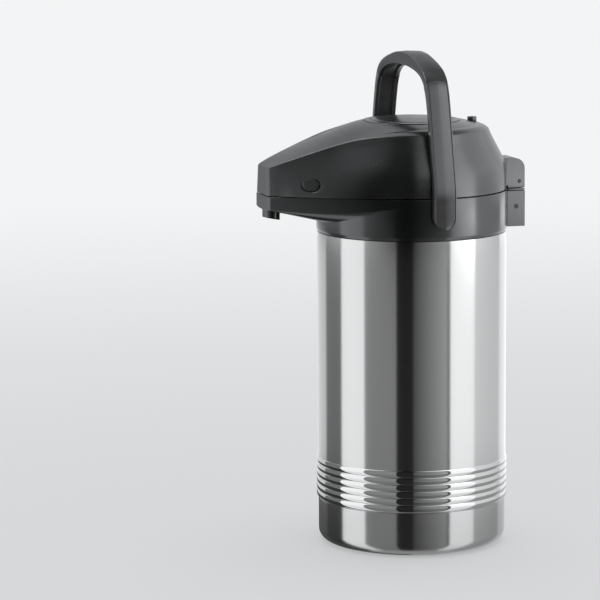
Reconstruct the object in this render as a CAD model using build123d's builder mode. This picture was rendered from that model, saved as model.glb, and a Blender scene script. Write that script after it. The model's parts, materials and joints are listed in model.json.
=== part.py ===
from build123d import *
from math import cos, radians, sin, sqrt
import os

# Pump airpot with a steel body, a glass liner, a hinged lid with a beak and a bail handle.
# Millimetres. The origin is on the body's axis at the resting plane, +Z is up,
# the beak points along -Y and the lid's hinge is at the back, at +Y.

os.makedirs("parts", exist_ok=True)

# Steel body
BODY_RADIUS = 82.5
STEEL_WALL = 0.8
SLEEVE_BOTTOM = 40.0
SLEEVE_TOP = 274.3
BEAD_COUNT = 6
BEAD_PITCH = 6.05
BEAD_HEIGHT = 0.9
CUP_STEP_IN = 0.7
CUP_SEAM = 0.7
CUP_OVERLAP = 8.0
CUP_CORNER = 14.0
CUP_FLOOR = 3.0
CUP_OPENING = 58.0
SLIP_FIT = 0.4

# Base ring, screw cap and liner cushion
FOOT_INNER = 60.0
FOOT_OUTER = 70.0
FOOT_STEP = 0.6
RING_FIT = 0.3
RING_WALL = 3.7
RING_FLANGE_REACH = 6.0
RING_FLANGE = 2.2
RING_HEIGHT = 16.0
THREAD_FIT = 0.1
CAP_RAISE = 1.4
CAP_THICK = 3.6
CAP_WALL = 3.0
CAP_HEIGHT = 12.6
GRIP_BAR_LENGTH = 84.0
GRIP_BAR_WIDTH = 10.0
CUSHION_INNER = 20.0
CUSHION_OUTER = 44.0
CUSHION_THICK = 15.0

# Glass liner, a blown double wall with its vacuum space and pump-out stem
LINER_CLEARANCE = 7.7
NECK_STAND = 5.7
NECK_HEIGHT = 18.0
NECK_RADIUS = 42.0
GLASS_WALL = 1.8
VACUUM_GAP = 3.4
BOTTOM_ROUND = 28.0
SHOULDER_LEDGE = 8.0
NECK_ROUND = 6.0
STEM_RADIUS = 5.0
STEM_LENGTH = 7.0
STEM_BORE = 1.6
STEM_TIP = 2.4
STEM_PLUG = 4.0

# Collar
COLLAR_PROUD = 0.5
COLLAR_GAP = 0.6
COLLAR_HEIGHT = 35.4
COLLAR_WALL = 3.5
COLLAR_CHAMFER = 0.8
COLLAR_CHAMFER_HEIGHT = 2.6
GASKET_THICK = 3.0
GASKET_OVERHANG = 0.5
GASKET_INNER = 36.0
DECK_THICK = 4.0
MOUTH_HOLE = 36.5
SPIGOT_DEPTH = 12.0
SPIGOT_WALL = 3.0

# Beak, in plan at the parting line and at the lid's crease, and its underside
TIP_REACH = 135.5
TIP_HALF = 18.9
TIP_CORNER = 5.0
SIDE_TANGENT = 25.5
CREASE_TIP_REACH = 134.5
CREASE_TIP_HALF = 13.4
CREASE_TANGENT = 30.0
KEEL_RADIUS = 114.0
KEEL_DEPTH = 24.9
KEEL_SLOPE = 0.24
BEAK_WALL = 2.4
TROUGH_WIDTH = 24.0

# Lid shell. Each station of the profile is a rise above the rim and a distance inside the collar.
LID_GAP = 0.7
LID_WALL = 2.5
LID_STATIONS = ((0.0, 0.7), (9.0, 0.7), (19.0, 1.2), (28.0, 4.1), (38.3, 9.3), (52.5, 16.3))
TIP_RISE = 24.3
RAMP_SLOPE = 0.392
RAMP_RADIUS = 260.0
TOP_RISE = 6.9
TOP_BULGE = 0.7
GUIDE_WALL = 2.3
GUIDE_ENGAGE = 12.0

# Pump
BUTTON_RADIUS = 41.8
RUN_GAP = 0.4
PUMP_TRAVEL = 26.0
BUTTON_PROUD = 0.5
BUTTON_CROWN = 2.5
BUTTON_THICK = 2.6
SKIRT_WALL = 2.4
SKIRT_DEPTH = 9.9
GROOVE_INSET = 5.3
GROOVE_WIDTH = 0.8
GROOVE_DEPTH = 0.4
BELLOWS_RADIUS = 35.0
BELLOWS_FOLD = 5.5
BELLOWS_FOLDS = 6
BELLOWS_WALL = 1.0
BELLOWS_BOSS_DEPTH = 4.9
CLAMP_HEIGHT = 4.2
CLAMP_WIDTH = 3.0
SPRING_RADIUS = 14.0
SPRING_WIRE = 0.9
SPRING_TURNS = 7

# Lid plate, seal and air valve, all centred on the air port
PORT_Y = 7.0
PLATE_GAP = 0.3
PLATE_THICK = 2.5
PLATE_FIT = 0.4
SEAL_RADIUS = 24.5
SEAL_WIDTH = 5.0
SEAL_THICK = 3.2
SEAL_GAP = 0.3
SEAT_HEIGHT = 10.5
SEAT_WIDTH = 4.0
VALVE_STEM = 2.0
VALVE_FIT = 0.08
VALVE_DISC = 9.5
VALVE_DISC_THICK = 1.7
VALVE_HEAD = 3.4
VALVE_HEAD_THICK = 1.2
VALVE_TRAVEL = 1.8
VALVE_SPARE = 0.2
AIR_HOLE = 2.0
AIR_HOLE_CIRCLE = 6.0
AIR_HOLES = 4

# Mouth ring, riser tube and spout pipe
FLANGE_RADIUS = 41.0
FLANGE_THICK = 3.0
PLUG_FIT = 0.5
PLUG_DEPTH = 8.0
AIR_OPENING = 22.0
RISER_Y = -28.0
RISER_RADIUS = 4.5
TUBE_WALL = 1.0
RISER_CLEARANCE = 9.0
RISER_STAND = 8.0
TUBE_FIT = 0.05
ELBOW_WALL = 1.4
ELBOW_BEND = 7.0
ELBOW_REACH = 14.0
RISER_SEAL_THICK = 1.5
RISER_SEAL_WIDTH = 1.8
PIPE_DEPTH = 6.7
PIPE_BEND = 8.0
PIPE_OVERLAP = 6.0
NOZZLE_BACK = 8.2
NOZZLE_RADIUS = 7.6
NOZZLE_FIT = 0.1
NOZZLE_TOP = 9.3
NOZZLE_BOTTOM = 20.5
NOZZLE_CUT = 11.0
PIPE_SHORT = 3.7
OUTLET_RADIUS = 3.8

# Hinge
HINGE_STANDOFF = 11.7
HINGE_RISE = 4.5
EAR_BEHIND_PIN = 5.1
HINGE_WIDTH = 30.0
EAR_DROP = 1.2
EAR_RISE = 24.7
EAR_ROUND = 9.0
EAR_ROOT = 9.0
TONGUE_WIDTH = 17.0
CHEEK_GAP = 0.3
KNUCKLE_RADIUS = 3.6
KNUCKLE_GAP = 0.6
PIN_RADIUS = 1.5
PIN_FIT = 0.05
PIN_SHORT = 0.4
BRACKET_DROP = 3.8
BRACKET_HEIGHT = 31.1
BRACKET_STANDOFF = 0.1
BRACKET_WALL = 3.6
BRACKET_SIDE = 5.7
BRACKET_ROUND = 1.2
LUG_FIT = 0.2
BRACKET_SCREW_BACK = 3.5
BRACKET_SCREW_DROP = 17.4
SCREW_HEAD = 2.2
SCREW_HEAD_DEPTH = 1.6
SCREW_SHANK = 1.4
SCREW_LENGTH = 10.0
SOCKET_RADIUS = 0.9
SOCKET_DEPTH = 1.0

# Handle, measured from its pivot
PIVOT_DROP = 14.8
LEG_WIDTH = 20.0
LEG_CLEARANCE = 1.5
LEG_THICK = 8.0
LEG_TOP_THICK = 6.5
STUB_RADIUS = 6.0
STUB_FIT = 0.06
STUB_REACH = 9.0
STUB_END_GAP = 0.5
BOSS_WALL = 3.0
LEG_BEND = 20.5
LEG_INNER_BEND = 29.4
LEG_TOP_IN = 15.0
LEG_TOP_HEIGHT = 87.0
ARCH_SHOULDER_IN = 40.5
ARCH_DROP = 8.8
ARCH_TOP = 134.8
ARCH_THICK = 11.8
GRIP_SEAM_IN = 28.0
GRIP_SEAM_HEIGHT = 110.7
GRIP_SEAM_ANGLE = 43.0

# Release buttons on the beak's sides
RELEASE_SHARE = 0.664
RELEASE_RISE = 11.3
RELEASE_LONG = 7.25
RELEASE_TALL = 5.25
RECESS_LONG = 9.6
RECESS_TALL = 6.4
RECESS_DEPTH = 1.3
RELEASE_FIT = 0.35
RELEASE_TRAVEL = 3.0
RELEASE_ENGAGE = 4.0
RELEASE_PROUD = 0.3
ARM_WIDTH = 7.0
ARM_THICK = 2.2
CATCH_REACH = 2.4
ARM_BELOW = 2.6
CATCH_WIDTH = 10.0
CATCH_THICK = 2.2
CATCH_DROP = 1.6
CATCH_GAP = 0.3

# Lock
LOCK_BEHIND = 13.3
KNOB_RADIUS = 4.0
KNOB_HEIGHT = 5.2
KNOB_CAP = 1.6
LOCK_RECESS_RADIUS = 5.6
LOCK_FLOOR_DROP = 4.4
LOCK_SHAFT = 2.0
LOCK_BORE = 2.08
CAM_LENGTH = 17.0
CAM_WIDTH = 5.0
CAM_THICK = 2.6
CAM_GAP = 1.0
CAM_SWEEP_GAP = 0.8

# Lid screws and their posts
POST_RADIUS = 3.5
POST_INSET = 7.5
POST_ANGLES = (35.0, 145.0, 213.0, 327.0)
LID_SCREW = 1.3
LID_SCREW_HEAD = 2.6
LID_SCREW_HEAD_THICK = 1.0
LID_SCREW_LENGTH = 12.0

# Sizes and levels that follow from the ones above
sleeve_inner = BODY_RADIUS - STEEL_WALL
cup_radius = BODY_RADIUS - CUP_STEP_IN
cup_top = SLEEVE_BOTTOM - CUP_SEAM
spigot_radius = sleeve_inner - SLIP_FIT
cup_inner_floor = CUP_FLOOR + STEEL_WALL
ring_radius = CUP_OPENING - RING_FIT
thread_radius = ring_radius - RING_WALL
cap_radius = thread_radius - THREAD_FIT
cap_floor = CAP_RAISE + CAP_THICK
flask_bottom = cap_floor + CUSHION_THICK
flask_radius = sleeve_inner - LINER_CLEARANCE
flask_top = SLEEVE_TOP + NECK_STAND
flask_shoulder = flask_top - NECK_HEIGHT
shoulder_round = flask_radius - NECK_RADIUS - SHOULDER_LEDGE
flask_wall = 2 * GLASS_WALL + VACUUM_GAP
mouth_radius = NECK_RADIUS - flask_wall
collar_radius = BODY_RADIUS + COLLAR_PROUD
collar_inner = collar_radius - COLLAR_WALL
collar_bottom = SLEEVE_TOP + COLLAR_GAP
parting = collar_bottom + COLLAR_HEIGHT
deck_bottom = flask_top + GASKET_THICK
deck_top = deck_bottom + DECK_THICK
lid_bottom = parting + LID_GAP
crease_height = lid_bottom + LID_STATIONS[-1][0]
crease_radius = collar_radius - LID_STATIONS[-1][1]
hole_radius = BUTTON_RADIUS + RUN_GAP
hole_height = crease_height + TOP_RISE
guide_bottom = hole_height - PUMP_TRAVEL - GUIDE_ENGAGE
plate_bottom = lid_bottom + PLATE_GAP
plate_top = plate_bottom + PLATE_THICK
flange_top = deck_top + FLANGE_THICK
seat_top = flange_top + SEAT_HEIGHT
seal_bottom = seat_top + SEAL_GAP
seal_inner = SEAL_RADIUS - SEAL_WIDTH / 2
seal_outer = SEAL_RADIUS + SEAL_WIDTH / 2
release_deep = RELEASE_TRAVEL + RELEASE_ENGAGE
button_edge = hole_height + BUTTON_PROUD
skirt_bottom = button_edge - SKIRT_DEPTH
bellows_bottom = plate_top + CLAMP_HEIGHT
bellows_top = button_edge - BELLOWS_BOSS_DEPTH
pipe_height = parting - PIPE_DEPTH
nozzle_y = NOZZLE_BACK - TIP_REACH
nozzle_end = parting - NOZZLE_BOTTOM
hinge_y = collar_radius + HINGE_STANDOFF
hinge_z = parting + HINGE_RISE
hinge_rear = hinge_y + EAR_BEHIND_PIN
hinge_half = HINGE_WIDTH / 2
tongue_half = TONGUE_WIDTH / 2
ear_bottom = parting - EAR_DROP
bracket_top = parting - BRACKET_DROP
bracket_bottom = bracket_top - BRACKET_HEIGHT
bracket_front = collar_radius + BRACKET_STANDOFF
bracket_screw_y = hinge_y - BRACKET_SCREW_BACK
bracket_screw_z = parting - BRACKET_SCREW_DROP
pivot_z = parting - PIVOT_DROP
leg_inner = collar_radius + LEG_CLEARANCE
leg_outer = leg_inner + LEG_THICK
stub_end = leg_inner - STUB_REACH
stub_bore = STUB_RADIUS + STUB_FIT
lock_y = hole_radius + LOCK_BEHIND
lock_floor = hole_height - LOCK_FLOOR_DROP
cam_top = skirt_bottom - CAM_GAP
cam_bottom = cam_top - CAM_THICK
post_circle = crease_radius - POST_INSET
release_z = parting + RELEASE_RISE
catch_top = parting - CATCH_DROP
catch_bottom = catch_top - CATCH_THICK
arm_bottom = catch_bottom - CATCH_GAP - ARM_BELOW


def save(piece, name):
    """Label a finished piece and write it under its node name."""
    piece.part.label = name
    export_step(piece.part, "parts/" + name + ".step")


def turned(points):
    """A solid of revolution about Z from a closed outline of (radius, height) points."""
    with BuildPart() as body:
        with BuildSketch(Plane.XZ):
            with BuildLine():
                Polyline(*points, close=True)
            make_face()
        revolve(axis=Axis.Z)
    return body.part


def ring(inner, outer, low, high, centre=(0, 0)):
    """A plain ring or disc between two heights, its axis parallel to Z."""
    with BuildPart() as body:
        with BuildSketch(Plane.XY.offset(low)):
            with Locations(centre):
                Circle(outer)
                if inner > 0:
                    Circle(inner, mode=Mode.SUBTRACT)
        extrude(amount=high - low)
    return body.part


def block(low, high):
    """A box given by two opposite corners."""
    size = [b - a for a, b in zip(low, high)]
    with BuildPart() as body:
        with Locations(tuple(low)):
            Box(*size, align=(Align.MIN, Align.MIN, Align.MIN))
    return body.part


def cross_rod(radius, x_low, x_high, y, z):
    """A round rod parallel to X."""
    with BuildPart() as body:
        with BuildSketch(Plane.YZ.offset(x_low)):
            with Locations((y, z)):
                Circle(radius)
        extrude(amount=x_high - x_low)
    return body.part


def bent_tube(points, bends, outer, inner):
    """A round tube along straight runs joined by tangent bends."""
    with BuildPart() as body:
        with BuildLine() as route:
            FilletPolyline(*points, radius=bends)
        start = route.line @ 0
        heading = route.line % 0
        with BuildSketch(Plane(origin=start, z_dir=heading)):
            Circle(outer)
            if inner > 0:
                Circle(inner, mode=Mode.SUBTRACT)
        sweep(path=route.line)
    return body.part


def side_arc(radius, tangent_deg, tip_half, tip_reach):
    """One long side of the plan outline, leaving the circle tangentially and ending at the tip."""
    lean = radians(tangent_deg)
    start = (radius * cos(lean), -radius * sin(lean))
    return TangentArc(start, (tip_half, -tip_reach), tangent=(-sin(lean), -cos(lean)))


def plan_outline(height, radius, tangent_deg, tip_half, tip_reach):
    """A circle drawn out to a blunt tip: the shape of collar and lid seen from above."""
    with BuildSketch(Plane.XY.offset(height)) as plan:
        with BuildLine():
            side = side_arc(radius, tangent_deg, tip_half, tip_reach)
            mirror(side, about=Plane.YZ)
            Line((tip_half, -tip_reach), (-tip_half, -tip_reach))
            start = side @ 0
            ThreePointArc((-start.X, start.Y), (0, radius), (start.X, start.Y))
        make_face()
        fillet(plan.vertices().group_by(Axis.Y)[0], TIP_CORNER)
    return plan.sketch


def seam_outline(height, inset):
    """The plan outline at the parting line, moved inwards by a wall."""
    return plan_outline(height, collar_radius - inset, SIDE_TANGENT, TIP_HALF - inset, TIP_REACH - inset)


def keel_tool(inset):
    """A long round bar whose underside is the beak's sloping, keel-shaped underside."""
    base = (0, -collar_radius, parting - KEEL_DEPTH)
    with BuildPart() as tool:
        with BuildSketch(Plane(origin=base, x_dir=(1, 0, 0), z_dir=(0, -1, KEEL_SLOPE))):
            with Locations((0, KEEL_RADIUS)):
                Circle(KEEL_RADIUS - inset)
        extrude(amount=2 * TIP_REACH, both=True)
    return tool.part


def lower_beak(inset, top):
    """The part of the beak below the parting line, or its hollow when inset by a wall."""
    with BuildPart() as body:
        with BuildSketch(Plane.XY.offset(deck_bottom)) as plan:
            with BuildLine():
                side = side_arc(collar_radius - inset, SIDE_TANGENT, TIP_HALF - inset, TIP_REACH - inset)
                mirror(side, about=Plane.YZ)
                for spot in (side @ 0, side @ 1):
                    Line((spot.X, spot.Y), (-spot.X, spot.Y))
            make_face()
            fillet(plan.vertices().group_by(Axis.Y)[0], TIP_CORNER)
        extrude(amount=top - deck_bottom)
        add(keel_tool(inset), mode=Mode.INTERSECT)
    return body.part


def lid_outline_sizes(rise, inwards):
    """Radius, tangent and tip of the lid's plan outline at a rise above its rim."""
    share = rise / LID_STATIONS[-1][0]
    radius = collar_radius - inwards
    tangent_deg = SIDE_TANGENT + share * (CREASE_TANGENT - SIDE_TANGENT)
    tip_half = TIP_HALF + share * (CREASE_TIP_HALF - TIP_HALF)
    tip_reach = TIP_REACH + share * (CREASE_TIP_REACH - TIP_REACH)
    return radius, tangent_deg, tip_half, tip_reach


def lid_section(rise, inwards, inset):
    """The lid's plan outline at one station, moved inwards by a wall."""
    radius, tangent_deg, tip_half, tip_reach = lid_outline_sizes(rise, inwards)
    return plan_outline(lid_bottom + rise, radius - inset, tangent_deg, tip_half - inset, tip_reach - inset)


def ramp_tool(inset):
    """A long round bar whose upper side is the beak's ramp, slightly crowned."""
    base = (0, -TIP_REACH, parting + TIP_RISE)
    with BuildPart() as tool:
        with BuildSketch(Plane(origin=base, x_dir=(1, 0, 0), z_dir=(0, 1, RAMP_SLOPE))):
            with Locations((0, RAMP_RADIUS)):
                Circle(RAMP_RADIUS - inset)
        extrude(amount=3 * TIP_REACH, both=True)
    return tool.part


def lid_crown(inset):
    """The shallow top of the lid, from the crease up to the button's hole."""
    edge = crease_radius - inset
    low = crease_height - inset
    high = hole_height - inset
    middle = ((edge + hole_radius) / 2, (low + high) / 2 + TOP_BULGE)
    with BuildPart() as crown:
        with BuildSketch(Plane.XZ):
            with BuildLine():
                Polyline((edge, low), (edge, low - LID_WALL), (0, low - LID_WALL), (0, high), (hole_radius, high))
                ThreePointArc((hole_radius, high), middle, (edge, low))
            make_face()
        revolve(axis=Axis.Z)
    return crown.part


def lid_body(inset):
    """The lid's outer solid, or its hollow when inset by the wall."""
    with BuildPart() as body:
        loft(sections=[lid_section(rise, inwards, inset).face() for rise, inwards in LID_STATIONS])
        add(lid_crown(inset))
        add(ramp_tool(inset), mode=Mode.INTERSECT)
    return body.part


# Steel sleeve with its rolled beads
with BuildPart() as body_sleeve:
    with BuildSketch(Plane.XZ):
        with BuildLine():
            bead_base = [(BODY_RADIUS, SLEEVE_BOTTOM + i * BEAD_PITCH) for i in range(BEAD_COUNT + 1)]
            for low, high in zip(bead_base, bead_base[1:]):
                ThreePointArc(low, (BODY_RADIUS + BEAD_HEIGHT, (low[1] + high[1]) / 2), high)
            Polyline(
                bead_base[-1],
                (BODY_RADIUS, SLEEVE_TOP),
                (sleeve_inner, SLEEVE_TOP),
                (sleeve_inner, SLEEVE_BOTTOM),
                bead_base[0],
            )
        make_face()
    revolve(axis=Axis.Z)
save(body_sleeve, "body_sleeve")

# Steel base cup: its stepped rim slips up inside the sleeve
with BuildPart() as base_cup:
    with BuildSketch(Plane.XZ):
        with BuildLine():
            round_outer = (cup_radius - CUP_CORNER, CUP_FLOOR)
            round_inner = (cup_radius - CUP_CORNER, cup_inner_floor)
            inner_wall = spigot_radius - STEEL_WALL
            inner_round = inner_wall - round_inner[0]
            Line((CUP_OPENING, CUP_FLOOR), round_outer)
            RadiusArc(round_outer, (cup_radius, CUP_FLOOR + CUP_CORNER), -CUP_CORNER)
            Polyline(
                (cup_radius, CUP_FLOOR + CUP_CORNER),
                (cup_radius, cup_top),
                (spigot_radius, cup_top),
                (spigot_radius, cup_top + CUP_OVERLAP),
                (inner_wall, cup_top + CUP_OVERLAP),
                (inner_wall, cup_inner_floor + inner_round),
            )
            RadiusArc((inner_wall, cup_inner_floor + inner_round), round_inner, inner_round)
            Polyline(round_inner, (CUP_OPENING, cup_inner_floor), (CUP_OPENING, CUP_FLOOR))
        make_face()
    revolve(axis=Axis.Z)
save(base_cup, "base_cup")

# Plastic base ring: the foot that it stands on, a snap flange and the thread for the cap
with BuildPart() as base_ring:
    add(
        turned(
            [
                (thread_radius, FOOT_STEP),
                (FOOT_INNER, FOOT_STEP),
                (FOOT_INNER, 0),
                (FOOT_OUTER - FOOT_STEP, 0),
                (FOOT_OUTER, FOOT_STEP),
                (FOOT_OUTER, CUP_FLOOR),
                (ring_radius, CUP_FLOOR),
                (ring_radius, cup_inner_floor),
                (ring_radius + RING_FLANGE_REACH, cup_inner_floor),
                (ring_radius + RING_FLANGE_REACH, cup_inner_floor + RING_FLANGE),
                (ring_radius, cup_inner_floor + RING_FLANGE),
                (ring_radius, RING_HEIGHT),
                (thread_radius, RING_HEIGHT),
            ]
        )
    )
save(base_ring, "base_ring")

# Screw cap that closes the base and carries the liner, with a bar to turn it by
with BuildPart() as base_screw_cap:
    add(ring(0, cap_radius, CAP_RAISE, cap_floor))
    add(ring(cap_radius - CAP_WALL, cap_radius, cap_floor, CAP_RAISE + CAP_HEIGHT))
    with BuildSketch(Plane.XY):
        SlotOverall(GRIP_BAR_LENGTH, GRIP_BAR_WIDTH)
    extrude(amount=CAP_RAISE)
save(base_screw_cap, "base_screw_cap")

with BuildPart() as liner_cushion:
    add(ring(CUSHION_INNER, CUSHION_OUTER, cap_floor, flask_bottom))
save(liner_cushion, "liner_cushion")


def flask_shell(inset, top):
    """The liner's outer shape moved inwards by a distance, as a solid up to a height."""
    side = flask_radius - inset
    neck = NECK_RADIUS - inset
    with BuildPart() as shell:
        with BuildSketch(Plane.XZ):
            with BuildLine():
                FilletPolyline(
                    (0, flask_bottom + inset),
                    (side, flask_bottom + inset),
                    (side, flask_shoulder - inset),
                    (neck, flask_shoulder - inset),
                    (neck, top),
                    radius=(BOTTOM_ROUND - inset, shoulder_round - inset, NECK_ROUND + inset),
                )
                Polyline((neck, top), (0, top), (0, flask_bottom + inset))
            make_face()
        revolve(axis=Axis.Z)
    return shell.part


# Double-walled glass liner with a vacuum space that opens only into its pump-out stem
with BuildPart() as vacuum_flask:
    add(flask_shell(0, flask_top))
    add(flask_shell(GLASS_WALL, flask_top - GLASS_WALL), mode=Mode.SUBTRACT)
    add(flask_shell(GLASS_WALL + VACUUM_GAP, flask_top))
    add(flask_shell(flask_wall, flask_top), mode=Mode.SUBTRACT)
    add(ring(0, STEM_RADIUS, flask_bottom - STEM_LENGTH, flask_bottom + GLASS_WALL))
    add(ring(0, STEM_BORE, flask_bottom - STEM_LENGTH, flask_bottom + GLASS_WALL), mode=Mode.SUBTRACT)
save(vacuum_flask, "vacuum_flask")

# Glass melted into the stem's end
with BuildPart() as flask_seal_tip:
    stem_end = flask_bottom - STEM_LENGTH
    add(ring(0, STEM_BORE, stem_end, stem_end + STEM_PLUG))
    with BuildSketch(Plane.XZ):
        with BuildLine():
            Polyline((0, stem_end - STEM_TIP), (0, stem_end), (STEM_RADIUS, stem_end))
            Bezier((STEM_RADIUS, stem_end), (STEM_RADIUS, stem_end - STEM_TIP), (0, stem_end - STEM_TIP))
        make_face()
    revolve(axis=Axis.Z)
save(flask_seal_tip, "flask_seal_tip")

with BuildPart() as mouth_gasket:
    add(ring(GASKET_INNER, NECK_RADIUS + GASKET_OVERHANG, flask_top, deck_bottom))
save(mouth_gasket, "mouth_gasket")


def release_frame():
    """The release button's plane on the +X side of the beak, facing outwards."""
    rise = release_z - lid_bottom
    stations = LID_STATIONS
    low = max(i for i, station in enumerate(stations) if station[0] <= rise)
    near, far = stations[low], stations[low + 1]
    inwards = near[1] + (far[1] - near[1]) * (rise - near[0]) / (far[0] - near[0])
    side = side_arc(*lid_outline_sizes(rise, inwards))
    spot = side @ RELEASE_SHARE
    along = side % RELEASE_SHARE
    outwards = (-along.Y, along.X, 0)
    return Plane(origin=(spot.X, spot.Y, release_z), x_dir=(-along.X, -along.Y, 0), z_dir=outwards)


release_plane = release_frame()


def release_prism(long_half, tall_half, start, depth):
    """An oval prism on the release button's axis, running inwards from a start depth."""
    with BuildPart() as prism:
        with BuildSketch(release_plane.offset(-start - depth)):
            Ellipse(long_half, tall_half)
        extrude(amount=depth)
    return prism.part


def release_block(along_half, low, high, start, depth):
    """An upright block behind the release button, between two heights and two depths."""
    with BuildPart() as body:
        with BuildSketch(release_plane.offset(-start - depth)):
            with Locations((0, (low + high) / 2 - release_z)):
                Rectangle(2 * along_half, high - low)
        extrude(amount=depth)
    return body.part


def both_sides(piece):
    """A piece and its mirror image across the beak's middle plane."""
    return [piece, piece.mirror(Plane.YZ)]


# Where the beak's inner wall stands behind the release button
wall_depth = BEAK_WALL + LID_STATIONS[1][1]

# Collar: ring, deck over the liner's mouth, spigot into the sleeve and the lower half of the beak
with BuildPart() as collar:
    add(lower_beak(0, parting))
    add(
        turned(
            [
                (0, deck_bottom),
                (spigot_radius - SPIGOT_WALL, deck_bottom),
                (spigot_radius - SPIGOT_WALL, SLEEVE_TOP - SPIGOT_DEPTH),
                (spigot_radius, SLEEVE_TOP - SPIGOT_DEPTH),
                (spigot_radius, collar_bottom),
                (collar_radius - COLLAR_CHAMFER, collar_bottom),
                (collar_radius, collar_bottom + COLLAR_CHAMFER_HEIGHT),
                (collar_radius, parting),
                (0, parting),
            ]
        )
    )
    add(ring(0, collar_inner, deck_top, parting), mode=Mode.SUBTRACT)
    add(ring(0, MOUTH_HOLE, deck_bottom, deck_top), mode=Mode.SUBTRACT)
    add(lower_beak(BEAK_WALL, parting), mode=Mode.SUBTRACT)
    # The ring's front wall stays as a rib, open in the middle for the spout pipe
    rib = ring(collar_inner, collar_radius - COLLAR_CHAMFER, deck_bottom, parting - PLATE_GAP)
    add(rib & lower_beak(BEAK_WALL / 2, parting))
    pipe_way = block(
        (-TROUGH_WIDTH / 2, -collar_radius - BEAK_WALL, parting - NOZZLE_TOP - 2 * BEAK_WALL),
        (TROUGH_WIDTH / 2, -collar_inner / 2, parting + BEAK_WALL),
    )
    add(pipe_way & lower_beak(BEAK_WALL, parting), mode=Mode.SUBTRACT)
    add(ring(0, NOZZLE_RADIUS + NOZZLE_FIT, flask_top, parting, (0, nozzle_y)), mode=Mode.SUBTRACT)
    # Pivot bosses of the handle
    for side in (-1, 1):
        boss = sorted((side * (stub_end - BOSS_WALL), side * (collar_inner + COLLAR_WALL / 2)))
        bore = sorted((side * (stub_end - STUB_END_GAP), side * (collar_radius + COLLAR_WALL)))
        add(cross_rod(stub_bore + BOSS_WALL, *boss, 0, pivot_z))
        add(cross_rod(stub_bore, *bore, 0, pivot_z), mode=Mode.SUBTRACT)
    # Lug that the hinge bracket is screwed to
    lug_half = hinge_half - BRACKET_SIDE - LUG_FIT
    add(
        block(
            (-lug_half, collar_inner + COLLAR_WALL / 2, bracket_bottom + BRACKET_WALL + LUG_FIT),
            (lug_half, hinge_rear - BRACKET_WALL - LUG_FIT, bracket_top - BRACKET_WALL - LUG_FIT),
        )
    )
    catch = release_block(CATCH_WIDTH / 2, catch_bottom, catch_top, 0, wall_depth + CATCH_REACH)
    for piece in both_sides(catch):
        add(piece & lower_beak(BEAK_WALL / 2, parting))
    for side in (-1, 1):
        ends = sorted((side * (lug_half - SCREW_LENGTH + BRACKET_SIDE), side * hinge_half))
        add(cross_rod(SCREW_SHANK, *ends, bracket_screw_y, bracket_screw_z), mode=Mode.SUBTRACT)
save(collar, "collar")

# Neck insert: sealing rim around the air opening, and the socket that holds the riser tube
with BuildPart() as mouth_ring:
    add(ring(0, FLANGE_RADIUS, deck_top, flange_top))
    add(ring(0, mouth_radius - PLUG_FIT, flask_top - PLUG_DEPTH, deck_top))
    add(ring(0, AIR_OPENING + SEAT_WIDTH, flange_top, seat_top, (0, PORT_Y)))
    add(ring(0, AIR_OPENING, flask_top - PLUG_DEPTH, seat_top, (0, PORT_Y)), mode=Mode.SUBTRACT)
    riser_bore = ring(0, RISER_RADIUS + TUBE_FIT, flask_top - PLUG_DEPTH, flange_top, (0, RISER_Y))
    add(riser_bore, mode=Mode.SUBTRACT)
save(mouth_ring, "mouth_ring")

riser_bottom = flask_bottom + flask_wall + RISER_CLEARANCE
riser_top = flange_top + RISER_STAND
with BuildPart() as riser_tube:
    add(ring(RISER_RADIUS - TUBE_WALL, RISER_RADIUS, riser_bottom, riser_top, (0, RISER_Y)))
save(riser_tube, "riser_tube")

seal_ring_top = flange_top + RISER_SEAL_THICK
with BuildPart() as riser_seal:
    add(ring(RISER_RADIUS, RISER_RADIUS + RISER_SEAL_WIDTH, flange_top, seal_ring_top, (0, RISER_Y)))
save(riser_seal, "riser_seal")

# Elbow that turns the flow from the riser into the spout pipe
elbow_end = RISER_Y - ELBOW_REACH
with BuildPart() as pipe_elbow:
    elbow_route = ((0, RISER_Y, seal_ring_top), (0, RISER_Y, pipe_height), (0, elbow_end, pipe_height))
    add(bent_tube(elbow_route, ELBOW_BEND, RISER_RADIUS + ELBOW_WALL, RISER_RADIUS))
save(pipe_elbow, "pipe_elbow")

# Spout pipe through the beak, turned down into the nozzle
with BuildPart() as spout_pipe:
    pipe_start = elbow_end + PIPE_OVERLAP
    pipe_end = nozzle_end + PIPE_SHORT
    pipe_route = ((0, pipe_start, pipe_height), (0, nozzle_y, pipe_height), (0, nozzle_y, pipe_end))
    add(bent_tube(pipe_route, PIPE_BEND, RISER_RADIUS - TUBE_FIT, RISER_RADIUS - TUBE_FIT - TUBE_WALL))
save(spout_pipe, "spout_pipe")

# Nozzle, cut off at a slant
with BuildPart() as nozzle:
    add(ring(0, NOZZLE_RADIUS, nozzle_end - NOZZLE_RADIUS, parting - NOZZLE_TOP, (0, nozzle_y)))
    add(ring(0, RISER_RADIUS, pipe_end, parting - NOZZLE_TOP, (0, nozzle_y)), mode=Mode.SUBTRACT)
    add(ring(0, OUTLET_RADIUS, nozzle_end - NOZZLE_RADIUS, pipe_end, (0, nozzle_y)), mode=Mode.SUBTRACT)
    slant = radians(NOZZLE_CUT)
    end_plane = Plane(origin=(0, nozzle_y, nozzle_end), z_dir=(0, sin(slant), cos(slant)))
    split(bisect_by=end_plane, keep=Keep.TOP)
save(nozzle, "nozzle")

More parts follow.
